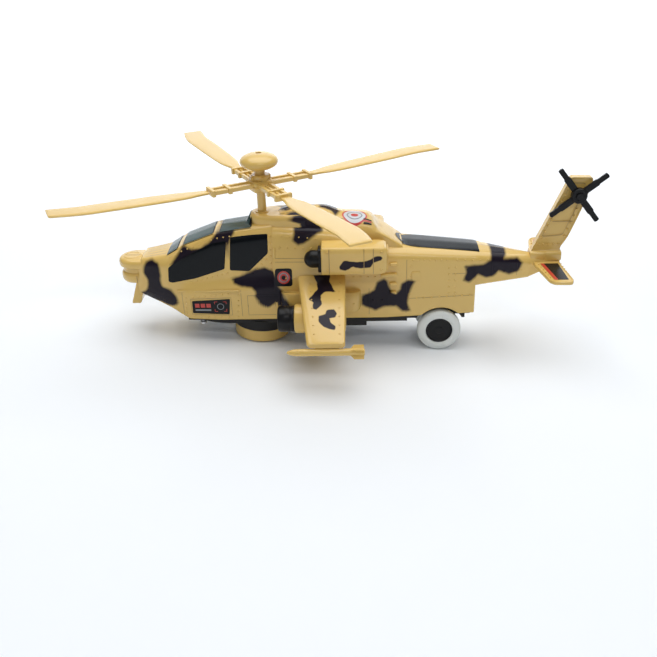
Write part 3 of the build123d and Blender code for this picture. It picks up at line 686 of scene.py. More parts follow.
def rivets(name, spots, radius=0.82, view="side", side=-1):
    """Round rivet heads on the skin, one mesh for a whole row set."""
    points, faces, shades = [], [], []
    for a, b in spots:
        spot, normal = on_side(a, b, side, -0.12) if view == "side" else on_top(a, b, -0.12)
        if spot is None:
            continue
        turn = normal.to_track_quat("Z", "Y")
        base = len(points)
        for ring, (share, rise) in enumerate(((1.0, 0.0), (0.85, 0.45), (0.45, 0.7))):
            for step in range(8):
                angle = 2 * math.pi * step / 8
                offset = Vector((share * radius * math.cos(angle), share * radius * math.sin(angle),
                        rise))
                points.append(tuple(spot + turn @ (offset / 1000)))
        for ring in range(2):
            for step in range(8):
                p = base + ring * 8 + step
                q = base + ring * 8 + (step + 1) % 8
                faces.append((p, q, q + 8, p + 8))
        faces.append(tuple(base + 16 + step for step in range(8)))
        shades.extend([camo_fuselage(a, 0, b) if view == "side" else 9.0] * 24)
    made = add_piece(name, points, faces, *CAMO_HULL, place=direct)
    store_camo(made, shades)
    return made


def row(start, end, count):
    """Evenly spaced points from start to end."""
    return [(start[0] + (end[0] - start[0]) * i / (count - 1),
            start[1] + (end[1] - start[1]) * i / (count - 1)) for i in range(count)]


# ------------------------------------------------------------------ windows
SIDE_WINDOWS = {
    "front": [(-67.8, 55), (-67.2, 66), (-62.5, 69.5), (-45, 78.6), (-31.5, 85), (-21.5, 86.5),
              (-22.5, 78), (-24.2, 64.8), (-46.6, 58), (-64.5, 54.4)],
    "rear": [(-19.2, 64), (-17.4, 89), (-2, 90.6), (10.6, 91.5), (10.1, 77), (-4.5, 63.3)],
}
ROOF_PANES = [(-68.0, -60.2), (-54.8, -31.5), (-25.5, -2.2)]
PANE_HALF = 13.9
for side, tag in SIDES:
    for label, outline in SIDE_WINDOWS.items():
        corners = rounded(outline, 1.2, 3)
        rim = [Vector(p) for p in corners]
        centre = sum(rim, Vector((0, 0))) / len(rim)
        wider = [tuple(p + (p - centre).normalized() * 0.55) for p in rim]
        # Black rim just outside each window: painted shade of the gap between the shell's opening and the
        # glazing.
        patch(f"window_shade_rim_{label}_{tag}", wider, DECAL_BLACK_AND_GAP_SHADE, side=side, lift=0.08)
        patch(f"window_{label}_{tag}", corners, GLASS, side=side, lift=0.25, slot="smoked_glazing")
for index, (front, rear) in enumerate(ROOF_PANES):
    outline = [(front, -PANE_HALF), (rear, -PANE_HALF), (rear, PANE_HALF), (front, PANE_HALF)]
    rim = PANE_HALF + 0.8
    wider = [(front - 0.8, -rim), (rear + 0.8, -rim), (rear + 0.8, rim), (front - 0.8, rim)]
    # Black rim round each roof pane: painted shade of the gap between the shell's opening and the pane.
    patch(f"roof_pane_shade_rim_{index + 1}", wider, DECAL_BLACK_AND_GAP_SHADE, view="top", lift=0.12, slot="smoked_glazing")
    # The roof panes carry the painted reflection of the overhead light.
    patch(f"roof_pane_{index + 1}", outline, ROOF_GLAZING_PAINTED_LIGHT, view="top", lift=0.3, slot="smoked_glazing")

boom_front, boom_rear, boom_half = 109.0, 173.5, 13.0
boom_outline = [(boom_rear, -boom_half + 0.8), (boom_rear, boom_half - 0.8)]
for step in range(13):
    turn = math.pi / 2 + math.pi * step / 12
    reach = boom_half * math.sin(turn)
    boom_outline.append((boom_front + 17 + 17 * math.cos(turn), reach))
patch("boom_window", boom_outline, GLASS, view="top", lift=0.3, slot="smoked_glazing")

# ------------------------------------------------------------------ raised details on the skin
for side, tag in SIDES:
    canopy_rivets = row((-50, 54.4), (-22, 61.4), 8) + row((-50, 42.5), (-22, 45), 7)
    canopy_rivets += row((-55.5, 42), (-56.5, 28), 4) + row((-14, 44), (-15.5, 25), 5)
    canopy_rivets += row((-50, 25.4), (-23, 24.6), 6)
    engine_rivets = row((12.7, 90), (12.7, 64), 6) + row((-2, 61), (9, 72), 4) + row((20, 82), (44, 81),
            5)
    engine_rivets += row((24, 58), (44, 57.6), 4) + row((76, 58), (98, 57.4), 5) + row((76, 38), (98,
            37.6), 4)
    rear_rivets = row((122, 69.6), (148, 68.6), 7) + row((156, 68.2), (180, 66.6), 5)
    rear_rivets += row((119, 37.8), (167, 38.4), 9) + row((150, 62), (150, 41), 5) + row((155, 62), (155,
            41), 5)
    rear_rivets += row((120, 65), (120, 42), 4) + row((186, 56), (208, 55), 4)
    rivets(f"rivets_{tag}", canopy_rivets + engine_rivets + rear_rivets, side=side)
    # Panel lines: darker tan strips of painted shade for the moulded grooves.
    panel_lines = [[(-12, 22.6), (-12, 48)], [(-58.5, 26), (-58.5, 47)], [(117, 22.6), (117, 76)],
            [(152.5, 22.6), (152.5, 71)], [(16, 73.6), (44, 73.2)], [(16, 70.8), (44, 70.4)], [(88, 23),
            (88, 48)], [(-7, 43.5), (17, 43.2), (17, 26.5), (-7, 26.5), (-7, 43.5)], [(-52, 41), (-20,
            42), (-20, 26.6), (-52, 27.4), (-52, 41)], [(184, 52), (184, 66)], [(204, 50.5), (204, 64)],
            [(117, 38), (170, 38)], [(152.5, 57), (163, 57)], ]
    for index, line in enumerate(panel_lines):
        ribbon(f"groove_shade_{index + 1}_{tag}", line, 0.42, side=side)

roof_rivets = []
for side in (-1, 1):
    roof_rivets += row((22, 20 * side), (48, 20.5 * side), 5) + row((-66, 17 * side), (-4, 17 * side), 14)
rivets("rivets_roof", roof_rivets, view="top", radius=0.65)
# Deck lines, seams and nose slots: darker tan strips of painted shade.
for side, tag in SIDES:
    for index, shift in enumerate((3.2, 8.2)):
        ribbon(f"deck_line_{index + 1}_{tag}", [(20, side * shift), (56, side * shift)], 0.6, view="top")
    ribbon(f"deck_seam_{tag}", [(66, side * 11), (94, side * 11.5)], 0.5, view="top")
ribbon("centre_seam", [(16, 0), (100, 0)], 0.35, view="top")
ribbon("centre_seam_boom", [(176, 0), (212, 0)], 0.35, view="top")
for index in range(5):
    y = -9 + 4.5 * index
    ribbon(f"nose_deck_slot_{index + 1}", [(-87, y), (-70, y * 1.1)], 0.7, view="top")


def raised_block(name, outline, side, depth, round_off):
    """A low pad standing proud of the skin, its outline in the side view."""
    rim = rounded(outline, 0.8, 2)
    count = len(rim)
    centre = sum((Vector(p) for p in rim), Vector((0, 0))) / count
    points, shades = [], []
    for shrink, lift in ((0, -0.6), (0, depth - round_off), (round_off * 0.3, depth - round_off * 0.3),
                         (round_off, depth)):
        for a, b in rim:
            spot, normal = on_side(a, b, side, 0)
            inward = (centre - Vector((a, b))).normalized() * shrink
            moved = spot + settle(inward.x, 0, inward.y) - settle(0, 0, 0) + normal * lift / 1000
            points.append(tuple(moved))
            shades.append(camo_fuselage(a, 0, b))
    made = add_piece(name, points, ring_faces(4, count), *CAMO_HULL,
                     place=direct, split=60)
    store_camo(made, shades)
    return made


def bar_outline(x0, x1, z0, z1):
    """A rectangle in the side view."""
    return [(x0, z0), (x1, z0), (x1, z1), (x0, z1)]


for side, tag in SIDES:
    louvres = [(103.8, 109.6, 66.2, 68.6), (97, 109.6, 57.8, 60.2), (103.8, 109.2, 50.2, 52.6),
               (103.8, 109.0, 43.2, 45.4)]
    for index, (x0, x1, z0, z1) in enumerate(louvres):
        raised_block(f"louvre_{index + 1}_{tag}", bar_outline(x0, x1, z0, z1), side, 2.6, 0.6)
    raised_block(f"access_plate_{tag}", bar_outline(121, 127.5, 53, 60.5), side, 0.8, 0.3)
    raised_block(f"sill_strip_{tag}", bar_outline(-62, -13, 46.3, 48.4), side, 1.0, 0.5)
    raised_block(f"engine_rib_{tag}", bar_outline(14.8, 16.6, 24, 82), side, 0.9, 0.4)

# ------------------------------------------------------------------ markings
TARGET_X, TARGET_Z = 22.2, 58.4
LABEL_RING = (-28.8, 34.4)
for side, tag in SIDES:
    pad = [(TARGET_X + dx * 6.6, TARGET_Z + dz * 7.4) for dx, dz in ((-1, -1), (1, -1), (1, 1), (-1, 1))]
    patch(f"marking_pad_{tag}", rounded(pad, 2.5, 4), DECAL_BLACK_AND_GAP_SHADE, side=side, lift=0.12, spacing=3)
    for index, (radius, material) in enumerate(((4.9, RED), (3.7, GREY), (2.9, RED), (1.7, DECAL_BLACK_AND_GAP_SHADE))):
        disc = [(TARGET_X + radius * math.cos(math.pi * i / 12),
                TARGET_Z + 1.1 * radius * math.sin(math.pi * i / 12)) for i in range(24)]
        patch(f"marking_ring_{index + 1}_{tag}", disc, material, side=side, lift=0.2 + 0.06 * index,
                spacing=4)
    label = [(-51, 39.4), (-20.8, 41), (-22.2, 27.4), (-51.4, 28.4)]
    patch(f"label_{tag}", rounded(label, 0.8, 2), DECAL_BLACK_AND_GAP_SHADE, side=side, lift=0.14, spacing=4)
    for index, (x0, x1, z0, z1, material) in enumerate((
            (-49, -45.5, 33.5, 37, RED), (-44.5, -41, 33.5, 37, RED), (-40, -36.5, 33.5, 37, RED),
            (-49, -36.5, 30.6, 32, GREY))):
        patch(f"label_bar_{index + 1}_{tag}", bar_outline(x0, x1, z0, z1), material, side=side, lift=0.24,
              spacing=6)
    for index, (dx, dz) in enumerate(((-1, -1), (1, -1), (1, 1), (-1, 1))):
        cx, cz = LABEL_RING
        corner = [(cx + dx * 4.6, cz + dz * 2.2), (cx + dx * 4.6, cz + dz * 4.2), (cx + dx * 2.4,
                cz + dz * 4.2)]
        ribbon(f"label_corner_{index + 1}_{tag}", corner, 0.5, material=RED, side=side, lift=0.26)
    ring = []
    for i in range(21):
        turn = math.pi * i / 10
        ring.append((LABEL_RING[0] + 2.5 * math.cos(turn), LABEL_RING[1] + 2.5 * math.sin(turn)))
    ribbon(f"label_ring_{tag}", ring, 0.45, material=GREY, side=side, lift=0.26)
EMBLEM_X, EMBLEM_Y = 77.5, -6.5
EMBLEM_RINGS = ((10.5, 8.6, RED), (9.2, 7.3, WHITE), (6.6, 5.0, GREY), (5.6, 4.1, WHITE), (3.2, 2.2, RED))
for index, (rx, ry, material) in enumerate(EMBLEM_RINGS):
    oval = []
    for i in range(32):
        turn = math.pi * i / 16
        oval.append((EMBLEM_X + rx * math.cos(turn) * 0.92, EMBLEM_Y + ry * math.sin(turn)))
    patch(f"roof_emblem_{index + 1}", oval, material, view="top", lift=0.12 + 0.07 * index, spacing=1.2)
for index, material in enumerate((DECAL_BLACK_AND_GAP_SHADE, RED, DECAL_BLACK_AND_GAP_SHADE)):
    y = -14.2 + 1.5 * index
    patch(f"roof_bar_{index + 1}", [(84, y), (90, y), (90.4, y + 1.1), (84.4, y + 1.1)], material,
            view="top", lift=0.3, spacing=3)

# ------------------------------------------------------------------ nose sensor head
HEAD_X, HEAD_R = -97.0, 13.5
HEAD_REAR = -89.8
LID_X, HEAD_TOP = -99.4, 69


def head_outline(shrink):
    """The sensor head in plan: round in front, straight where it meets the fuselage."""
    reach = HEAD_R - shrink
    outline = [(HEAD_REAR, -reach)]
    for step in range(17):
        turn = -math.pi / 2 - math.pi * step / 16
        outline.append((HEAD_X + reach * math.cos(turn), reach * math.sin(turn)))
    outline.append((HEAD_REAR, reach))
    return outline


HEAD_LEVELS = [(4.6, 49.2), (2.2, 49.7), (1.2, 51.2), (0.9, 53), (1.0, 56), (1.6, 57.2), (2.6, 57.8),
        (2.8, 59.5), (2.6, 61.2), (1.4, 61.8), (0.4, 62.6), (0, 64), (0, 66), (0.4, 67.4), (1.4, 68.5),
        (2.8, 69)]
head = add_piece("sensor_head", *stacked(HEAD_LEVELS, head_outline), *CAMO_HULL,
          camo=lambda x, y, z: camo_side(x, y, z) if x > -96 else 9.0, split=50)
chin_side = [(-97, 49.6), (-103, 31), (-95.5, 31), (-93, 40), (-92, 49.6)]
chin = add_piece("sensor_chin", *prism(rounded(chin_side, [1, 1, 1, 1, 1], 2), -9.8, 9.8), *TAN_HULL,
        split=30)
soften(chin, 0.8)
add_piece("sensor_lid", *lathe([(7.2, -0.6), (7.2, 0.15), (6.7, 0.45), (5.9, 0.45), (5.5, 0.1), (0.3,
        0.1)], (LID_X, 0, HEAD_TOP), "z", 48), *TAN_HULL, split=40)
# The slot round the lid is a darker tan strip of painted shade.
add_piece("sensor_lid_slot", *prism([(-105.2, -0.35), (-93.8, -0.35), (-93.8, 0.35), (-105.2, 0.35)],
                                               69.05, 69.2, "z"), *GROOVE_SHADE_HULL, split=30)
# The seams on the head are darker tan strips of painted shade.
for side, tag in SIDES:
    add_piece(f"head_seam_{tag}",
                     *prism([(-95.2, 50.8), (-94.8, 50.8), (-94.8, 56.6), (-95.2, 56.6)],
                            side * 13.3, side * 13.56), *GROOVE_SHADE_HULL, split=30)
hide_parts("nose_sensor")
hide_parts("nose_sensor")

# ------------------------------------------------------------------ nacelles and intakes
INTAKE_Y, INTAKE_Z = 31.2, 76.2
for side, tag in reversed(SIDES):
    section_outline = rounded([(21, 65.2), (37.6, 65.2), *[(37.9, 68 + 1.8 * i) for i in range(9)],
                               (37.2, 86.6), (30, 86.8), (20.4, 86.8)],
                              [0.5, 3.0, *[0.3] * 9, 3.0, 1, 0.5], 4)
    rings = []
    stops = [(52, 0.6), (52.6, 0), *[(54 + 2 * i, 0) for i in range(21)], (96, 0.1), (99.2, 0.5), (100.8,
            1.4), (101.4, 2.6)]
    for x, shrink in stops:
        for y, z in section_outline:
            wide = 22.2 + (y - 22.2) * (1 - shrink / 15)
            rings.append((x, side * wide, 76 + (z - 76) * (1 - shrink / 10)))
    width = len(section_outline)
    faces = ring_faces(len(stops), width)
    if side < 0:
        faces = [tuple(reversed(f)) for f in faces]
    cowl = add_piece(f"cowl_{tag}", rings, faces, *CRISP_HULL, split=40,
                     camo=lambda x, y, z: min(polygon_distance(x, z, NACELLE_PATCH), 9))
    dense = cowl.modifiers.new("dense", "SUBSURF")
    dense.subdivision_type = "SIMPLE"
    dense.levels = dense.render_levels = 3
    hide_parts(f"nacelle_{tag}")
    rim = rounded([(25.4, 66.6), (36.8, 66.6), (36.8, 85.4), (25.4, 85.4)], 2.6, 4)
    hole = [(31.1 + (y - 31.1) * 0.82, 76 + (z - 76) * 0.86) for y, z in rim]
    points = [(52, side * y, z) for y, z in rim] + [(49.8, side * y, z) for y, z in rim]
    points += [(49.5, side * (31.1 + (y - 31.1) * 0.96), 76 + (z - 76) * 0.97) for y, z in rim]
    points += [(49.6, side * y, z) for y, z in hole] + [(51.2, side * y, z) for y, z in hole]
    faces = ring_faces(5, len(rim))
    if side > 0:
        faces = [tuple(reversed(f)) for f in faces]
    ring = add_piece(f"intake_ring_{tag}", points, faces, *BLACK_HULL, split=35)
    dome_profile = [(6.7, 50.5)]
    for step in range(11):
        turn = math.pi / 2 * step / 10
        dome_profile.append((6.7 * math.cos(turn) + 0.02, 45.6 - 6.7 * math.sin(turn)))
    dome = add_piece(f"intake_dome_{tag}", *lathe(dome_profile, (0, side * INTAKE_Y, INTAKE_Z), "x", 40),
            *BLACK_HULL, split=60)
    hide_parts(f"intake_{tag}")
    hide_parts(f"intake_{tag}")
    # The cowl seams are darker tan strips of painted shade.
    for index, x in enumerate((58, 84, 91)):
        strip = rounded([(x - 0.25, 66.2), (x + 0.25, 66.2), (x + 0.25, 86.2), (x - 0.25, 86.2)], 0.1, 1)
        add_piece(f"cowl_seam_{index + 1}_{tag}", *prism(strip, side * 37.75, side * 37.95), *GROOVE_SHADE_HULL,
                split=30)
    studs(f"cowl_rivets_{tag}", [(x, 0, z) for x, z in ((56.5, 83.6), (56.5, 69.5), (97, 83.4), (97,
            69.4))], [(0.9, side * 37.5), (0.75, side * 38.0), (0.3, side * 38.2)], "y", 10)

# ------------------------------------------------------------------ wings, pods and missiles
WING_ROOT = (25.3, 60.0)
WING_TIP = (93.0, 37.0)
WING_SLOPE = (WING_ROOT[1] - WING_TIP[1]) / (WING_TIP[0] - WING_ROOT[0])
WING_DEPTH = 4.1
POD_Y, POD_Z = 50, 35.5
MISSILE_Y, MISSILE_Z = 93.0, 30.0


def wing_ring(share, side, shrink=0.0):
    """The wing's section at a share of the way from root to tip."""
    y = WING_ROOT[0] + (WING_TIP[0] - WING_ROOT[0]) * share
    top = WING_ROOT[1] + (WING_TIP[1] - WING_ROOT[1]) * share
    front = 33.1 + 9.0 * share + shrink
    rear = 69.9 - 0.5 * share - shrink
    low = top - 3.9 + shrink * 0.5
    deck = [(front + 4 + (rear - 2.2 - front - 4) * i / 16, top) for i in range(17)]
    outline = [(front, top - 2), (front + 0.5, top - 1.0), (front + 1.6, top - 0.3), *deck,
               (rear - 0.7, top - 0.3), (rear, top - 1.2),
               (rear, low + 0.8), (rear - 0.8, low), (front + 4, low), (front + 1.4, low + 0.3),
               (front + 0.4, low + 1.1)]
    return [(x, side * y, z - shrink * 0.3) for x, z in outline]


def wing_camo(x, y, z):
    return min(polygon_distance(x, abs(y), outline) for outline in WING_PATCHES)


for side, tag in reversed(SIDES):
    points = []
    steps = 46
    for index in range(steps + 1):
        points += wing_ring(index / steps, side, 0.0 if index < steps else 0.9)
    width = len(points) // (steps + 1)
    faces = ring_faces(steps + 1, width)
    if side > 0:
        faces = [tuple(reversed(f)) for f in faces]
    wing = add_piece(f"wing_panel_{tag}", points, faces, *CRISP_HULL, camo=None, split=40)
    dense = wing.modifiers.new("dense", "SUBSURF")
    dense.subdivision_type = "SIMPLE"
    dense.levels = dense.render_levels = 2
    store_camo(wing, [wing_camo(*p) for p in points])
    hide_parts(f"wing_{tag}")

    def on_wing(x, y, lift):
        """A point on the top of this side's wing."""
        share = (y - WING_ROOT[0]) / (WING_TIP[0] - WING_ROOT[0])
        return (x, side * y, WING_ROOT[1] + (WING_TIP[1] - WING_ROOT[1]) * share + lift)

    studs(f"wing_rivets_{tag}", [on_wing(x, y, 0) for x, y in row((43, 34), (47, 84), 7) + row((65, 34),
            (65.5, 84), 7)], [(0.7, -0.2), (0.6, 0.3), (0.25, 0.48)], "z")

    pod_y, pod_z = side * POD_Y, POD_Z
    profile = [(4, 31.2), (10.2, 31.2), (10.9, 31.8), (11, 33), (11, 37.6), (10.75, 37.9), (10.75, 38.4),
            (11, 38.7), (11, 61.4), (10.75, 61.7), (10.75, 62.2), (11, 62.5), (11, 67), (10.5, 68.6),
            (9.4, 69.7), (7, 70), (6.4, 69.4), (1, 69.4)]
    body = add_piece(f"pod_body_{tag}", *lathe(profile, (0, pod_y, pod_z), "x", 56), *TAN_HULL,
                     split=35)
    web = []
    for y0, low in ((48, 40), (52, 40)):
        top = WING_ROOT[1] - WING_DEPTH - WING_SLOPE * (y0 - WING_ROOT[0])
        web.append([(38.3, side * y0, low), (63.7, side * y0, low), (61.5, side * y0, top), (40.5,
                side * y0, top)])
    points = web[0] + web[1]
    hanger = add_piece(f"pod_hanger_{tag}", points, BOX_FACES, *TAN_HULL, split=30)
    soften(hanger, 0.5)
    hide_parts(f"pod_{tag}")
    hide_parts(f"pod_{tag}")
    cap_profile = [(9.6, 31.2), (9.9, 30.6), (9.9, 28.4), (9.7, 28.1), (9.9, 27.8), (9.9, 20.4), (9.2,
            19.0), (8.0, 18.4), (7.7, 18.9), (7.6, 20.6), (0.4, 20.6)]
    cap = add_piece(f"pod_nose_{tag}", *lathe(cap_profile, (0, pod_y, pod_z), "x", 56), *BLACK_HULL,
            split=35)
    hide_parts(f"pod_cap_{tag}")
    for index in range(7):
        turn = math.radians(60 * index)
        cy = pod_y + (5.2 * math.cos(turn) if index < 6 else 0)
        cz = pod_z + (5.2 * math.sin(turn) if index < 6 else 0)
        tube_profile = [(1.9, 21), (1.9, 19.4), (1.6, 19.1), (1.3, 19.4), (1.25, 20.8), (0.2, 20.8)]
        add_piece(f"pod_tube_{index + 1}_{tag}", *lathe(tube_profile, (0, cy, cz), "x", 20), *SATIN_HULL,
                split=35)

    my, mz = side * MISSILE_Y, MISSILE_Z
    missile_profile = [(0.1, 27.4), (0.9, 28.0), (1.5, 29.2), (2.1, 31.2), (2.45, 33.2), (2.65, 36),
            (2.45, 36.4), (2.45, 36.8), (2.65, 37.2), (2.65, 68.6), (2.45, 68.9), (2.45, 69.3), (2.65,
            69.6), (2.65, 82.2), (2.2, 83.3), (0.2, 83.3)]
    missile = add_piece(f"missile_body_{tag}", *lathe(missile_profile, (0, my, mz), "x", 36), *TAN_HULL,
            split=40)
    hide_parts(f"missile_{tag}")
    fin_front, fin_rear, fin_reach = 72.2, 82.8, 5.4
    for index in range(4):
        turn = math.radians(45 + 90 * index)
        c, s = math.cos(turn), math.sin(turn)
        blade = [(fin_front + 3.5, fin_reach), (fin_rear, fin_reach), (fin_rear, 1.5), (fin_front, 1.5)]
        points = []
        for way in (-0.4, 0.4):
            points += [(x, my + r * c - way * s, mz + r * s + way * c) for x, r in blade]
        fin = add_piece(f"missile_fin_{index + 1}_{tag}", points, BOX_FACES, *TAN_HULL, split=30)
        soften(fin, 0.2, 2)
        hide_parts(f"missile_{tag}")
    rail = []
    for y0 in (90.9, 92.3):
        top = WING_ROOT[1] - WING_DEPTH - WING_SLOPE * (y0 - WING_ROOT[0])
        rail.append([(47.2, side * y0, 30.5), (65.8, side * y0, 30.5), (64.6, side * y0, top), (48.4,
                side * y0, top)])
    rack = add_piece(f"missile_rail_{tag}", rail[0] + rail[1], BOX_FACES, *TAN_HULL, split=30)
    soften(rack, 0.3, 2)
    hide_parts(f"missile_{tag}")

# ------------------------------------------------------------------ tail
TAIL_ROTOR = (246.3, 113.8)
FIN_FACE = 2.96
tail_sections = [
    (214.2, [(0, 47), (6.4, 47), (7.8, 55), (7.8, 61), (4.9, 64.4), (0, 65.8)]),
    (226.0, [(0, 52), (5.0, 52), (6.2, 57), (6.2, 61), (4, 64), (0, 65.4)]),
    (237.9, [(0, 57.2), (3.4, 57.2), (4.4, 59), (4.4, 61), (2.9, 63.4), (0, 64.8)]),
]
tail_boom = add_piece("tail_boom", *skin(tail_sections, 1.8, [0, 2, 2, 2, 2, 0]), *CAMO_HULL,
        camo=lambda x, y, z: camo_side(x, y, z), split=35)
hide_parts("tail_fin")
base_ring = rounded([(-6, 60.8), (6, 60.8), (6, 68.1), (-6, 68.1)], [0.8, 0.8, 2.8, 2.8], 4)
points = []
for x, shrink in ((214.4, 0.94), (215, 1.0), (225, 1.0), (225.3, 0.95), (226.2, 0.95), (226.5, 1.0),
        (237.6, 1.0), (238.4, 0.92)):
    points += [(x, y * shrink, 64.5 + (z - 64.5) * shrink) for y, z in base_ring]
fin_base = add_piece("fin_base", points, ring_faces(8, len(base_ring)), *TAN_HULL, split=35)
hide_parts("tail_fin")
fin_outline = rounded([(214.7, 67), (240.1, 126.9), (256.4, 126.5), (256.8, 123), (250.5, 100.7), (242.4,
        79), (237.4, 71), (237.4, 67)], [0.5, 2, 1.5, 3, 14, 8, 6, 0.5], 6)
fin_middle = Vector((240, 96))
points = []
for y, shrink in ((-2.1, 1.6), (-2.7, 0.7), (-2.9, 0), (2.9, 0), (2.7, 0.7), (2.1, 1.6)):
    for x, z in fin_outline:
        inward = (fin_middle - Vector((x, z))).normalized() * shrink
        points.append((x + inward.x, y, z + inward.y))
fin = add_piece("fin_panel", points, ring_faces(6, len(fin_outline)), *TAN_HULL, split=28)
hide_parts("tail_fin")
boss = add_piece("tail_rotor_boss", *lathe([(4.4, -2.5), (4.4, -3.8), (4.0, -4.15), (1.6, -4.15)],
        (TAIL_ROTOR[0], 0, TAIL_ROTOR[1]), "y", 36), *TAN_HULL, split=40)
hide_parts("tail_fin")
for side, tag in SIDES:
    inner = rounded([(222.5, 80), (241.0, 122.5), (251.5, 122.2), (246, 101.5), (238, 81)], [2, 2, 2, 8,
            2], 4)
    points, faces = [], []
    count = len(inner)
    centre = sum((Vector(p) for p in inner), Vector((0, 0))) / count
    for grow in (-0.3, 0.3):
        for x, z in inner:
            out = (Vector((x, z)) - centre).normalized() * grow
            points.append((x + out.x, side * FIN_FACE, z + out.y))
    for i in range(count):
        j = (i + 1) % count
        faces.append((i, j, j + count, i + count))
    # The fin's panel lines are darker tan strips of painted shade.
    add_piece(f"fin_line_{tag}", points, faces, *GROOVE_SHADE_HULL)
    # The fin's cross lines are darker tan strips of painted shade too.
    cross = [((229.5, 92), (245, 92)), ((236.5, 108), (250.5, 108))]
    points, faces = [], []
    for (ax, az), (bx, bz) in cross:
        base = len(points)
        points += [(ax, side * FIN_FACE, az - 0.25), (bx, side * FIN_FACE, bz - 0.25), (bx,
                side * FIN_FACE, bz + 0.25), (ax, side * FIN_FACE, az + 0.25)]
        faces.append((base, base + 1, base + 2, base + 3))
    add_piece(f"fin_cross_lines_{tag}", points, faces, *GROOVE_SHADE_HULL)
    spots = row((220.5, 73.5), (236, 73.5), 5) + row((222.5, 79), (239, 118), 9) + row((240, 80), (252.5,
            118), 8)
    studs(f"fin_rivets_{tag}", [(x, 0, z) for x, z in spots],
          [(0.85, side * 2.7), (0.7, side * 3.3), (0.3, side * 3.6)], "y")

STAB_OUTLINE = rounded([(216.7, 4), (217.6, 14), (222.1, 41), (225.6, 45.4), (238.3, 45.8), (240.2, 42),
        (237.3, 14), (237.2, 4)], [0.3, 1, 3, 2, 2.5, 2, 1, 0.3], 5)
for side, tag in reversed(SIDES):
    centre = Vector((229, 26))
    points = []
    for z, shrink in ((57.5, 0.8), (57.9, 0.1), (58.3, 0), (60.0, 0), (60.4, 0.3), (60.5, 0.9), (60.5,
            1.6), (60.15, 1.9)):
        for x, y in STAB_OUTLINE:
            inward = (centre - Vector((x, y))).normalized() * shrink
            points.append((x + inward.x, side * (y + inward.y), z))
    faces = ring_faces(8, len(STAB_OUTLINE))
    if side < 0:
        faces = [tuple(reversed(f)) for f in faces]
    panel = add_piece(f"stabiliser_panel_{tag}", points, faces, *TAN_HULL, split=35)
    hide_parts(f"stabiliser_{tag}")
    decal = [(221.5, 10), (235.2, 10), (236.6, 41), (226.0, 41)]
    stripe = [(221.5, 10), (224.2, 10), (228.8, 41), (226.0, 41)]
    for name, outline, material, lift in (("decal", decal, DECAL_BLACK_AND_GAP_SHADE, 60.22), ("stripe", stripe, RED,
            60.3)):
        rim = rounded(outline, 0.8, 2)
        add_piece(f"stabiliser_{name}_{tag}", [(x, side * y, lift) for x, y in rim],
                [tuple(range(len(rim)))], material, "fuselage", "tan_plastic")
    spots = row((220, 12), (224.5, 42), 7) + row((237.2, 12), (239, 40), 7)
    studs(f"stabiliser_rivets_{tag}", [(x, side * y, 0) for x, y in spots], [(0.6, 60.2), (0.5, 60.7),
            (0.2, 60.85)], "z")

# ------------------------------------------------------------------ main rotor
MAST_X, HUB_Z = 6.2, 126.4
DOME_Z = 143.4


def about_mast(reach, across, height, angle):
    """A point at a reach out from the mast along a blade, across it, and above the hub."""
    turn = math.radians(angle)
    return (MAST_X + reach * math.cos(turn) - across * math.sin(turn),
            reach * math.sin(turn) + across * math.cos(turn), HUB_Z + height)


hub_profile = [(6.6, 2.6), (6.9, 3.2), (6.9, 6.2), (6.3, 6.9), (4.3, 7.0), (4.0, 7.6), (4.0, 10.2), (5.0,
        10.8), (5.0, 12.4), (0.3, 12.6)]
hub = add_piece("hub_core", *lathe(hub_profile, (MAST_X, 0, HUB_Z), "z", 48), *TAN_ROTOR,
                split=35)
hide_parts("rotor_hub")
FIRST_BLADE = 29.7
# Distance out along a blade, and across it; the tip is swept back.
BLADE_PLAN = [(42.2, 3.2), (50, 4.5), (60, 7.5), (75, 8.5), (110, 9.3), (133, 9.5), (147, 7.3), (158.7,
        3.7), (157.5, -11.9), (149, -10.9), (136, -8.8), (110, -9.1), (75, -8.3), (60, -7.1), (50, -4.3),
        (42.2, -3.1)]
hub_block = []
for level_z, shrink in ((-5, 0.8), (-4.4, 0.1), (-1.2, 0.1), (-0.9, 0.7), (-0.3, 0.7), (0, 0.1), (2.4,
        0.1), (3, 0.8)):
    corners = rounded([(-8.4 + shrink, -8.4 + shrink), (8.4 - shrink, -8.4 + shrink), (8.4 - shrink,
            8.4 - shrink), (-8.4 + shrink, 8.4 - shrink)], 1.2, 3)
    hub_block += [about_mast(a, b, level_z, FIRST_BLADE) for a, b in corners]
block = add_piece("hub_block", hub_block, ring_faces(8, len(corners)), *TAN_ROTOR, split=35)
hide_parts("rotor_hub")
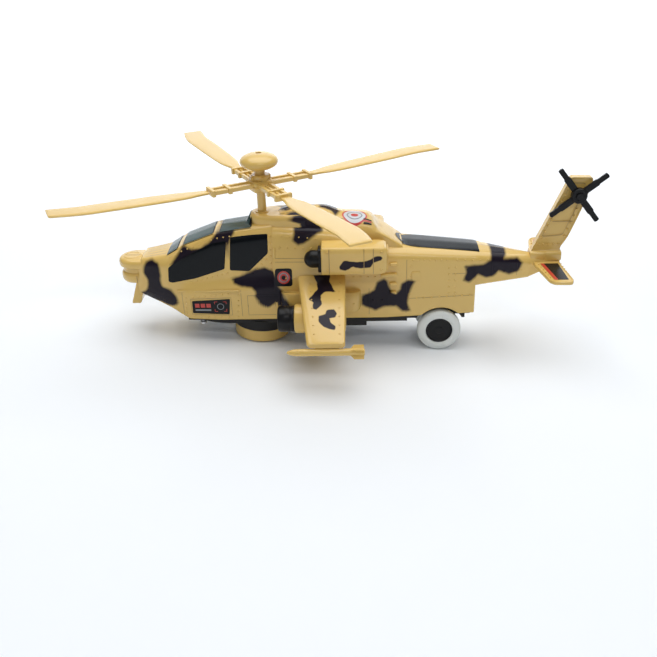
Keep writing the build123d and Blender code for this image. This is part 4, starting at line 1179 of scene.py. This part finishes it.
for index in range(4):
    angle = FIRST_BLADE + 90 * index
    for label, (r0, r1, a0, a1, h0, h1) in {
        "arm_1": (4, 42, -5.6, -2.9, -1.6, 1.6), "arm_2": (4, 42, 2.9, 5.6, -1.6, 1.6),
        "strap_1": (25.4, 28.4, -6.9, 6.9, -2.3, 2.3), "strap_2": (38.6, 41.5, -6.9, 6.9, -2.5, 2.5),
        "lug": (6.4, 8.2, -2.2, 2.2, 3.0, 6.4), "rod": (10, 40, -0.9, 0.9, -0.9, 0.9),
    }.items():
        corners = []
        for h in (h0, h1):
            corners += [about_mast(r, a, h, angle) for r, a in ((r0, a0), (r1, a0), (r1, a1), (r0, a1))]
        part = add_piece(f"hub_{label}_{index + 1}", corners, BOX_FACES, *TAN_ROTOR, split=30)
        soften(part, 0.55)
        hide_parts("rotor_hub")
    blade_plan = rounded(BLADE_PLAN, [0.3, 2, 4, 5, 9, 4, 5, 1, 1, 4, 5, 9, 5, 4, 2, 0.3], 5)
    lean = 4.6 / (158.8 - 42.2)
    middle = Vector((100, 0))
    points = []
    for height, shrink in ((-0.75, 0.7), (-0.2, 0.1), (0.15, 0.0), (0.6, 0.3), (0.92, 1.4), (1.0, 2.6)):
        for reach, across in blade_plan:
            pulled = Vector((min(max(reach, 62), 146), 0))
            inward = (pulled - Vector((reach, across)))
            inward = inward.normalized() * min(shrink, inward.length * 0.6)
            r, a = reach + inward.x, across + inward.y
            points.append(about_mast(r, a, height + (r - 42.2) * lean, angle))
    blade = add_piece(f"blade_{index + 1}", points, ring_faces(6, len(blade_plan)), *TAN_ROTOR, split=30)
    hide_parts(f"rotor_blade_{index + 1}")

dome_profile = [(0.2, -4.2), (5, -4.4)]
for step in range(15):
    turn = -math.pi / 2.6 + (math.pi / 2.6 + math.pi / 2 - 0.22) * step / 14
    dome_profile.append((14.6 * math.cos(turn), 6.5 * math.sin(turn)))
dome_profile += [(2.6, 6.35), (2.25, 6.1), (2.25, 0.8), (0.2, 0.6)]
rotor_dome = add_piece("dome", *lathe(dome_profile, (MAST_X, 0, DOME_Z), "z", 64), *TAN_ROTOR, split=40)
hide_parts("rotor_dome")

# ------------------------------------------------------------------ tail rotor
core = add_piece("tail_hub", *lathe([(1.7, -4.5), (5.6, -4.5), (5.9, -4.9), (5.9, -9.0), (5.5, -9.5),
        (3.2, -9.5), (3.0, -9.2), (1.7, -9.2)], (TAIL_ROTOR[0], 0, TAIL_ROTOR[1]), "y", 40),
        *BLACK_TAIL_ROTOR, split=35)
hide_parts("tail_rotor")
for index in range(4):
    turn = math.radians(38.2 + 90 * index)
    c, s = math.cos(turn), math.sin(turn)
    plan = rounded([(4, -2.5), (16.2, -2.6), (17.2, -2.0), (25.2, -2.0), (25.8, 0), (25.2, 2.0), (17.2,
            2.0), (16.2, 2.6), (4, 2.5)], 0.5, 2)
    points = []
    for y, shrink in ((-5.65, 0.35), (-5.9, 0), (-7.3, 0), (-7.55, 0.35)):
        for r, a in plan:
            a2 = a * (1 - shrink / 2.6)
            points.append((TAIL_ROTOR[0] + r * c - a2 * s, y, TAIL_ROTOR[1] + r * s + a2 * c))
    part = add_piece(f"tail_blade_{index + 1}", points, ring_faces(4, len(plan)), *BLACK_TAIL_ROTOR,
            split=30)
    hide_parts("tail_rotor")

# ------------------------------------------------------------------ rear wheels
REAR_WHEEL = (143.0, 17.5)
for side, tag in SIDES:
    profile = [(10.7, 12.2), (13.2, 12.1), (15.6, 12.5), (16.9, 13.6), (17.4, 15.2), (17.4, 18.3), (16.9,
            19.9), (15.6, 21.0), (13.2, 21.4), (11.4, 21.3), (10.7, 20.8), (10.7, 12.2)]
    tyre_profile = [(r, side * y) for r, y in profile]
    tyre = add_piece(f"tyre_{tag}", *lathe(tyre_profile, (REAR_WHEEL[0], 0, REAR_WHEEL[1]), "y", 72,
            False), *PALE_WHEEL, place=level, split=50)
    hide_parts(f"rear_tyre_{tag}")
    rim_profile = [(10.5, 12.2), (10.5, 20.2), (10.2, 20.45), (9.6, 20.4), (9.3, 20.0), (8.0, 19.9), (3.2,
            20.0), (2.8, 20.3), (2.2, 20.35), (0.2, 20.3)]
    rim = add_piece(f"wheel_rim_{tag}", *lathe([(r, side * y) for r, y in rim_profile], (REAR_WHEEL[0], 0,
            REAR_WHEEL[1]), "y", 60), *BLACK_WHEEL, place=level, split=35)
    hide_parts(f"rear_wheel_{tag}")
# ------------------------------------------------------------------ drive turret
drum_profile = [(20.8, 1.6), (21.9, 1.6), (22.25, 2.0), (22.25, 8.6), (21.9, 9.8), (21.2, 10.3), (20.4,
        10.4), (20.4, 15.6), (20.0, 15.8), (5.05, 15.8)]
add_piece("drum_shell", *lathe(drum_profile, (0, 0, 0), "z", 96), *TAN_TURRET, place=level,
                 split=35)
inner_profile = [(20.85, 1.7), (20.85, 8.8), (19.0, 9.4), (19.0, 14.3), (1.2, 14.3)]
add_piece("drum_lining", *lathe(inner_profile, (0, 0, 0), "z", 96), *TAN_TURRET,
                   place=level, split=35)

# ------------------------------------------------------------------ finishes of the pieces shown as modelled
PLAIN_FINISH = {"chassis": BLACK_SATIN, "battery_door": BLACK_SATIN, "chassis_screws": STEEL,
        "battery_cells": CELL, "battery_contacts": STEEL, "speaker": BLACK_SATIN, "lamp_board": BOARD,
        "boom_lamp_board": BOARD, "switch_slider": BLACK, "gear_case": GEAR, "drive_motor": STEEL,
        "mast_bearing": TAN, "rotor_mast": TAN, "mast_gear": GEAR, "counter_gear": GEAR,
        "motor_pinion": GEAR, "drive_shaft": STEEL, "drive_gear": GEAR, "turret_drum": TAN,
        "turret_clip": STEEL, "drive_axle": STEEL, "crown_gear": GEAR, "drive_wheel_left": BLACK,
        "drive_wheel_right": BLACK, "drive_tyre_left": RUBBER, "drive_tyre_right": RUBBER,
        "rear_axle": STEEL, "tail_rotor_pin": BLACK, }
for name, material in PLAIN_FINISH.items():
    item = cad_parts[name]
    item.data.materials.clear()
    item.data.materials.append(material)

# ------------------------------------------------------------------ floor, lights and camera
floor_material = finish_surface("studio_floor", (0.90, 0.93, 0.96), (0.89, 0.92, 0.955), 0.85, bump=0.01,
        grain=60)
RADIUS = 0.9
floor_rows = [(-2.4, 0.0), (1.0, 0.0)]
for step in range(1, 13):
    turn = math.pi / 2 * step / 12
    floor_rows.append((1.0 + RADIUS * math.sin(turn), RADIUS * (1 - math.cos(turn))))
floor_rows.append((1.0 + RADIUS, 3.2))
mesh = bpy.data.meshes.new("studio_floor")
floor_points = [Vector((x, y, z)) for y, z in floor_rows for x in (-3.5, 3.5)]
floor_faces = [(2 * i, 2 * i + 1, 2 * i + 3, 2 * i + 2) for i in range(len(floor_rows) - 1)]
mesh.from_pydata(floor_points, [], floor_faces)
mesh.materials.append(floor_material)
floor = bpy.data.objects.new("studio_floor", mesh)
bpy.context.scene.collection.objects.link(floor)
for face in mesh.polygons:
    face.use_smooth = True


def area_light(name, place, target, size, power):
    """A soft rectangular light; places are in metres from the turret's axis."""
    data = bpy.data.lights.new(name, "AREA")
    data.shape = "RECTANGLE"
    data.size, data.size_y = size
    data.energy = power
    light = bpy.data.objects.new(name, data)
    bpy.context.scene.collection.objects.link(light)
    light.location = Vector(place) - Vector((MIDDLE_X / 1000, 0, 0))
    aim = Vector(target) - Vector(place)
    light.rotation_euler = aim.to_track_quat("-Z", "Y").to_euler()


area_light("overhead", (0.05, 0.15, 1.35), (0.05, 0.0, 0), (1.9, 1.4), 22)
area_light("front_fill", (-0.2, -1.7, 0.75), (0, 0, 0.05), (1.5, 0.8), 1.1)
area_light("left_fill", (-1.6, -0.5, 0.9), (0, 0, 0.05), (1.0, 0.8), 1.5)
area_light("window_strip", (0.25, -0.95, 1.0), (0.05, 0, 0.05), (0.7, 0.08), 2.2)
area_light("backdrop_wash", (0.0, 0.9, 1.3), (0, 2.2, 0.5), (2.4, 0.8), 22)

world = bpy.data.worlds.new("studio")
bpy.context.scene.world = world
world.use_nodes = True
background = world.node_tree.nodes["Background"]
background.inputs["Color"].default_value = (0.90, 0.95, 1.0, 1)
background.inputs["Strength"].default_value = 0.12
bpy.context.scene.view_settings.view_transform = "Standard"

CAMERA_PLACE = (0.05457 - MIDDLE_X / 1000, -0.60588, 0.32241)
CAMERA_DOWN = math.radians(27.72)
CAMERA_ROLL = math.radians(2.555)
CAMERA_LENS = 45.19
camera_data = bpy.data.cameras.new("camera")
camera_data.sensor_width = 36
camera_data.lens = CAMERA_LENS
camera_data.clip_start = 0.01
camera = bpy.data.objects.new("camera", camera_data)
bpy.context.scene.collection.objects.link(camera)
aim = Matrix.Rotation(math.pi / 2 - CAMERA_DOWN, 4, "X") @ Matrix.Rotation(CAMERA_ROLL, 4, "Z")
camera.matrix_world = Matrix.Translation(CAMERA_PLACE) @ aim
bpy.context.scene.camera = camera

bpy.context.view_layer.update()
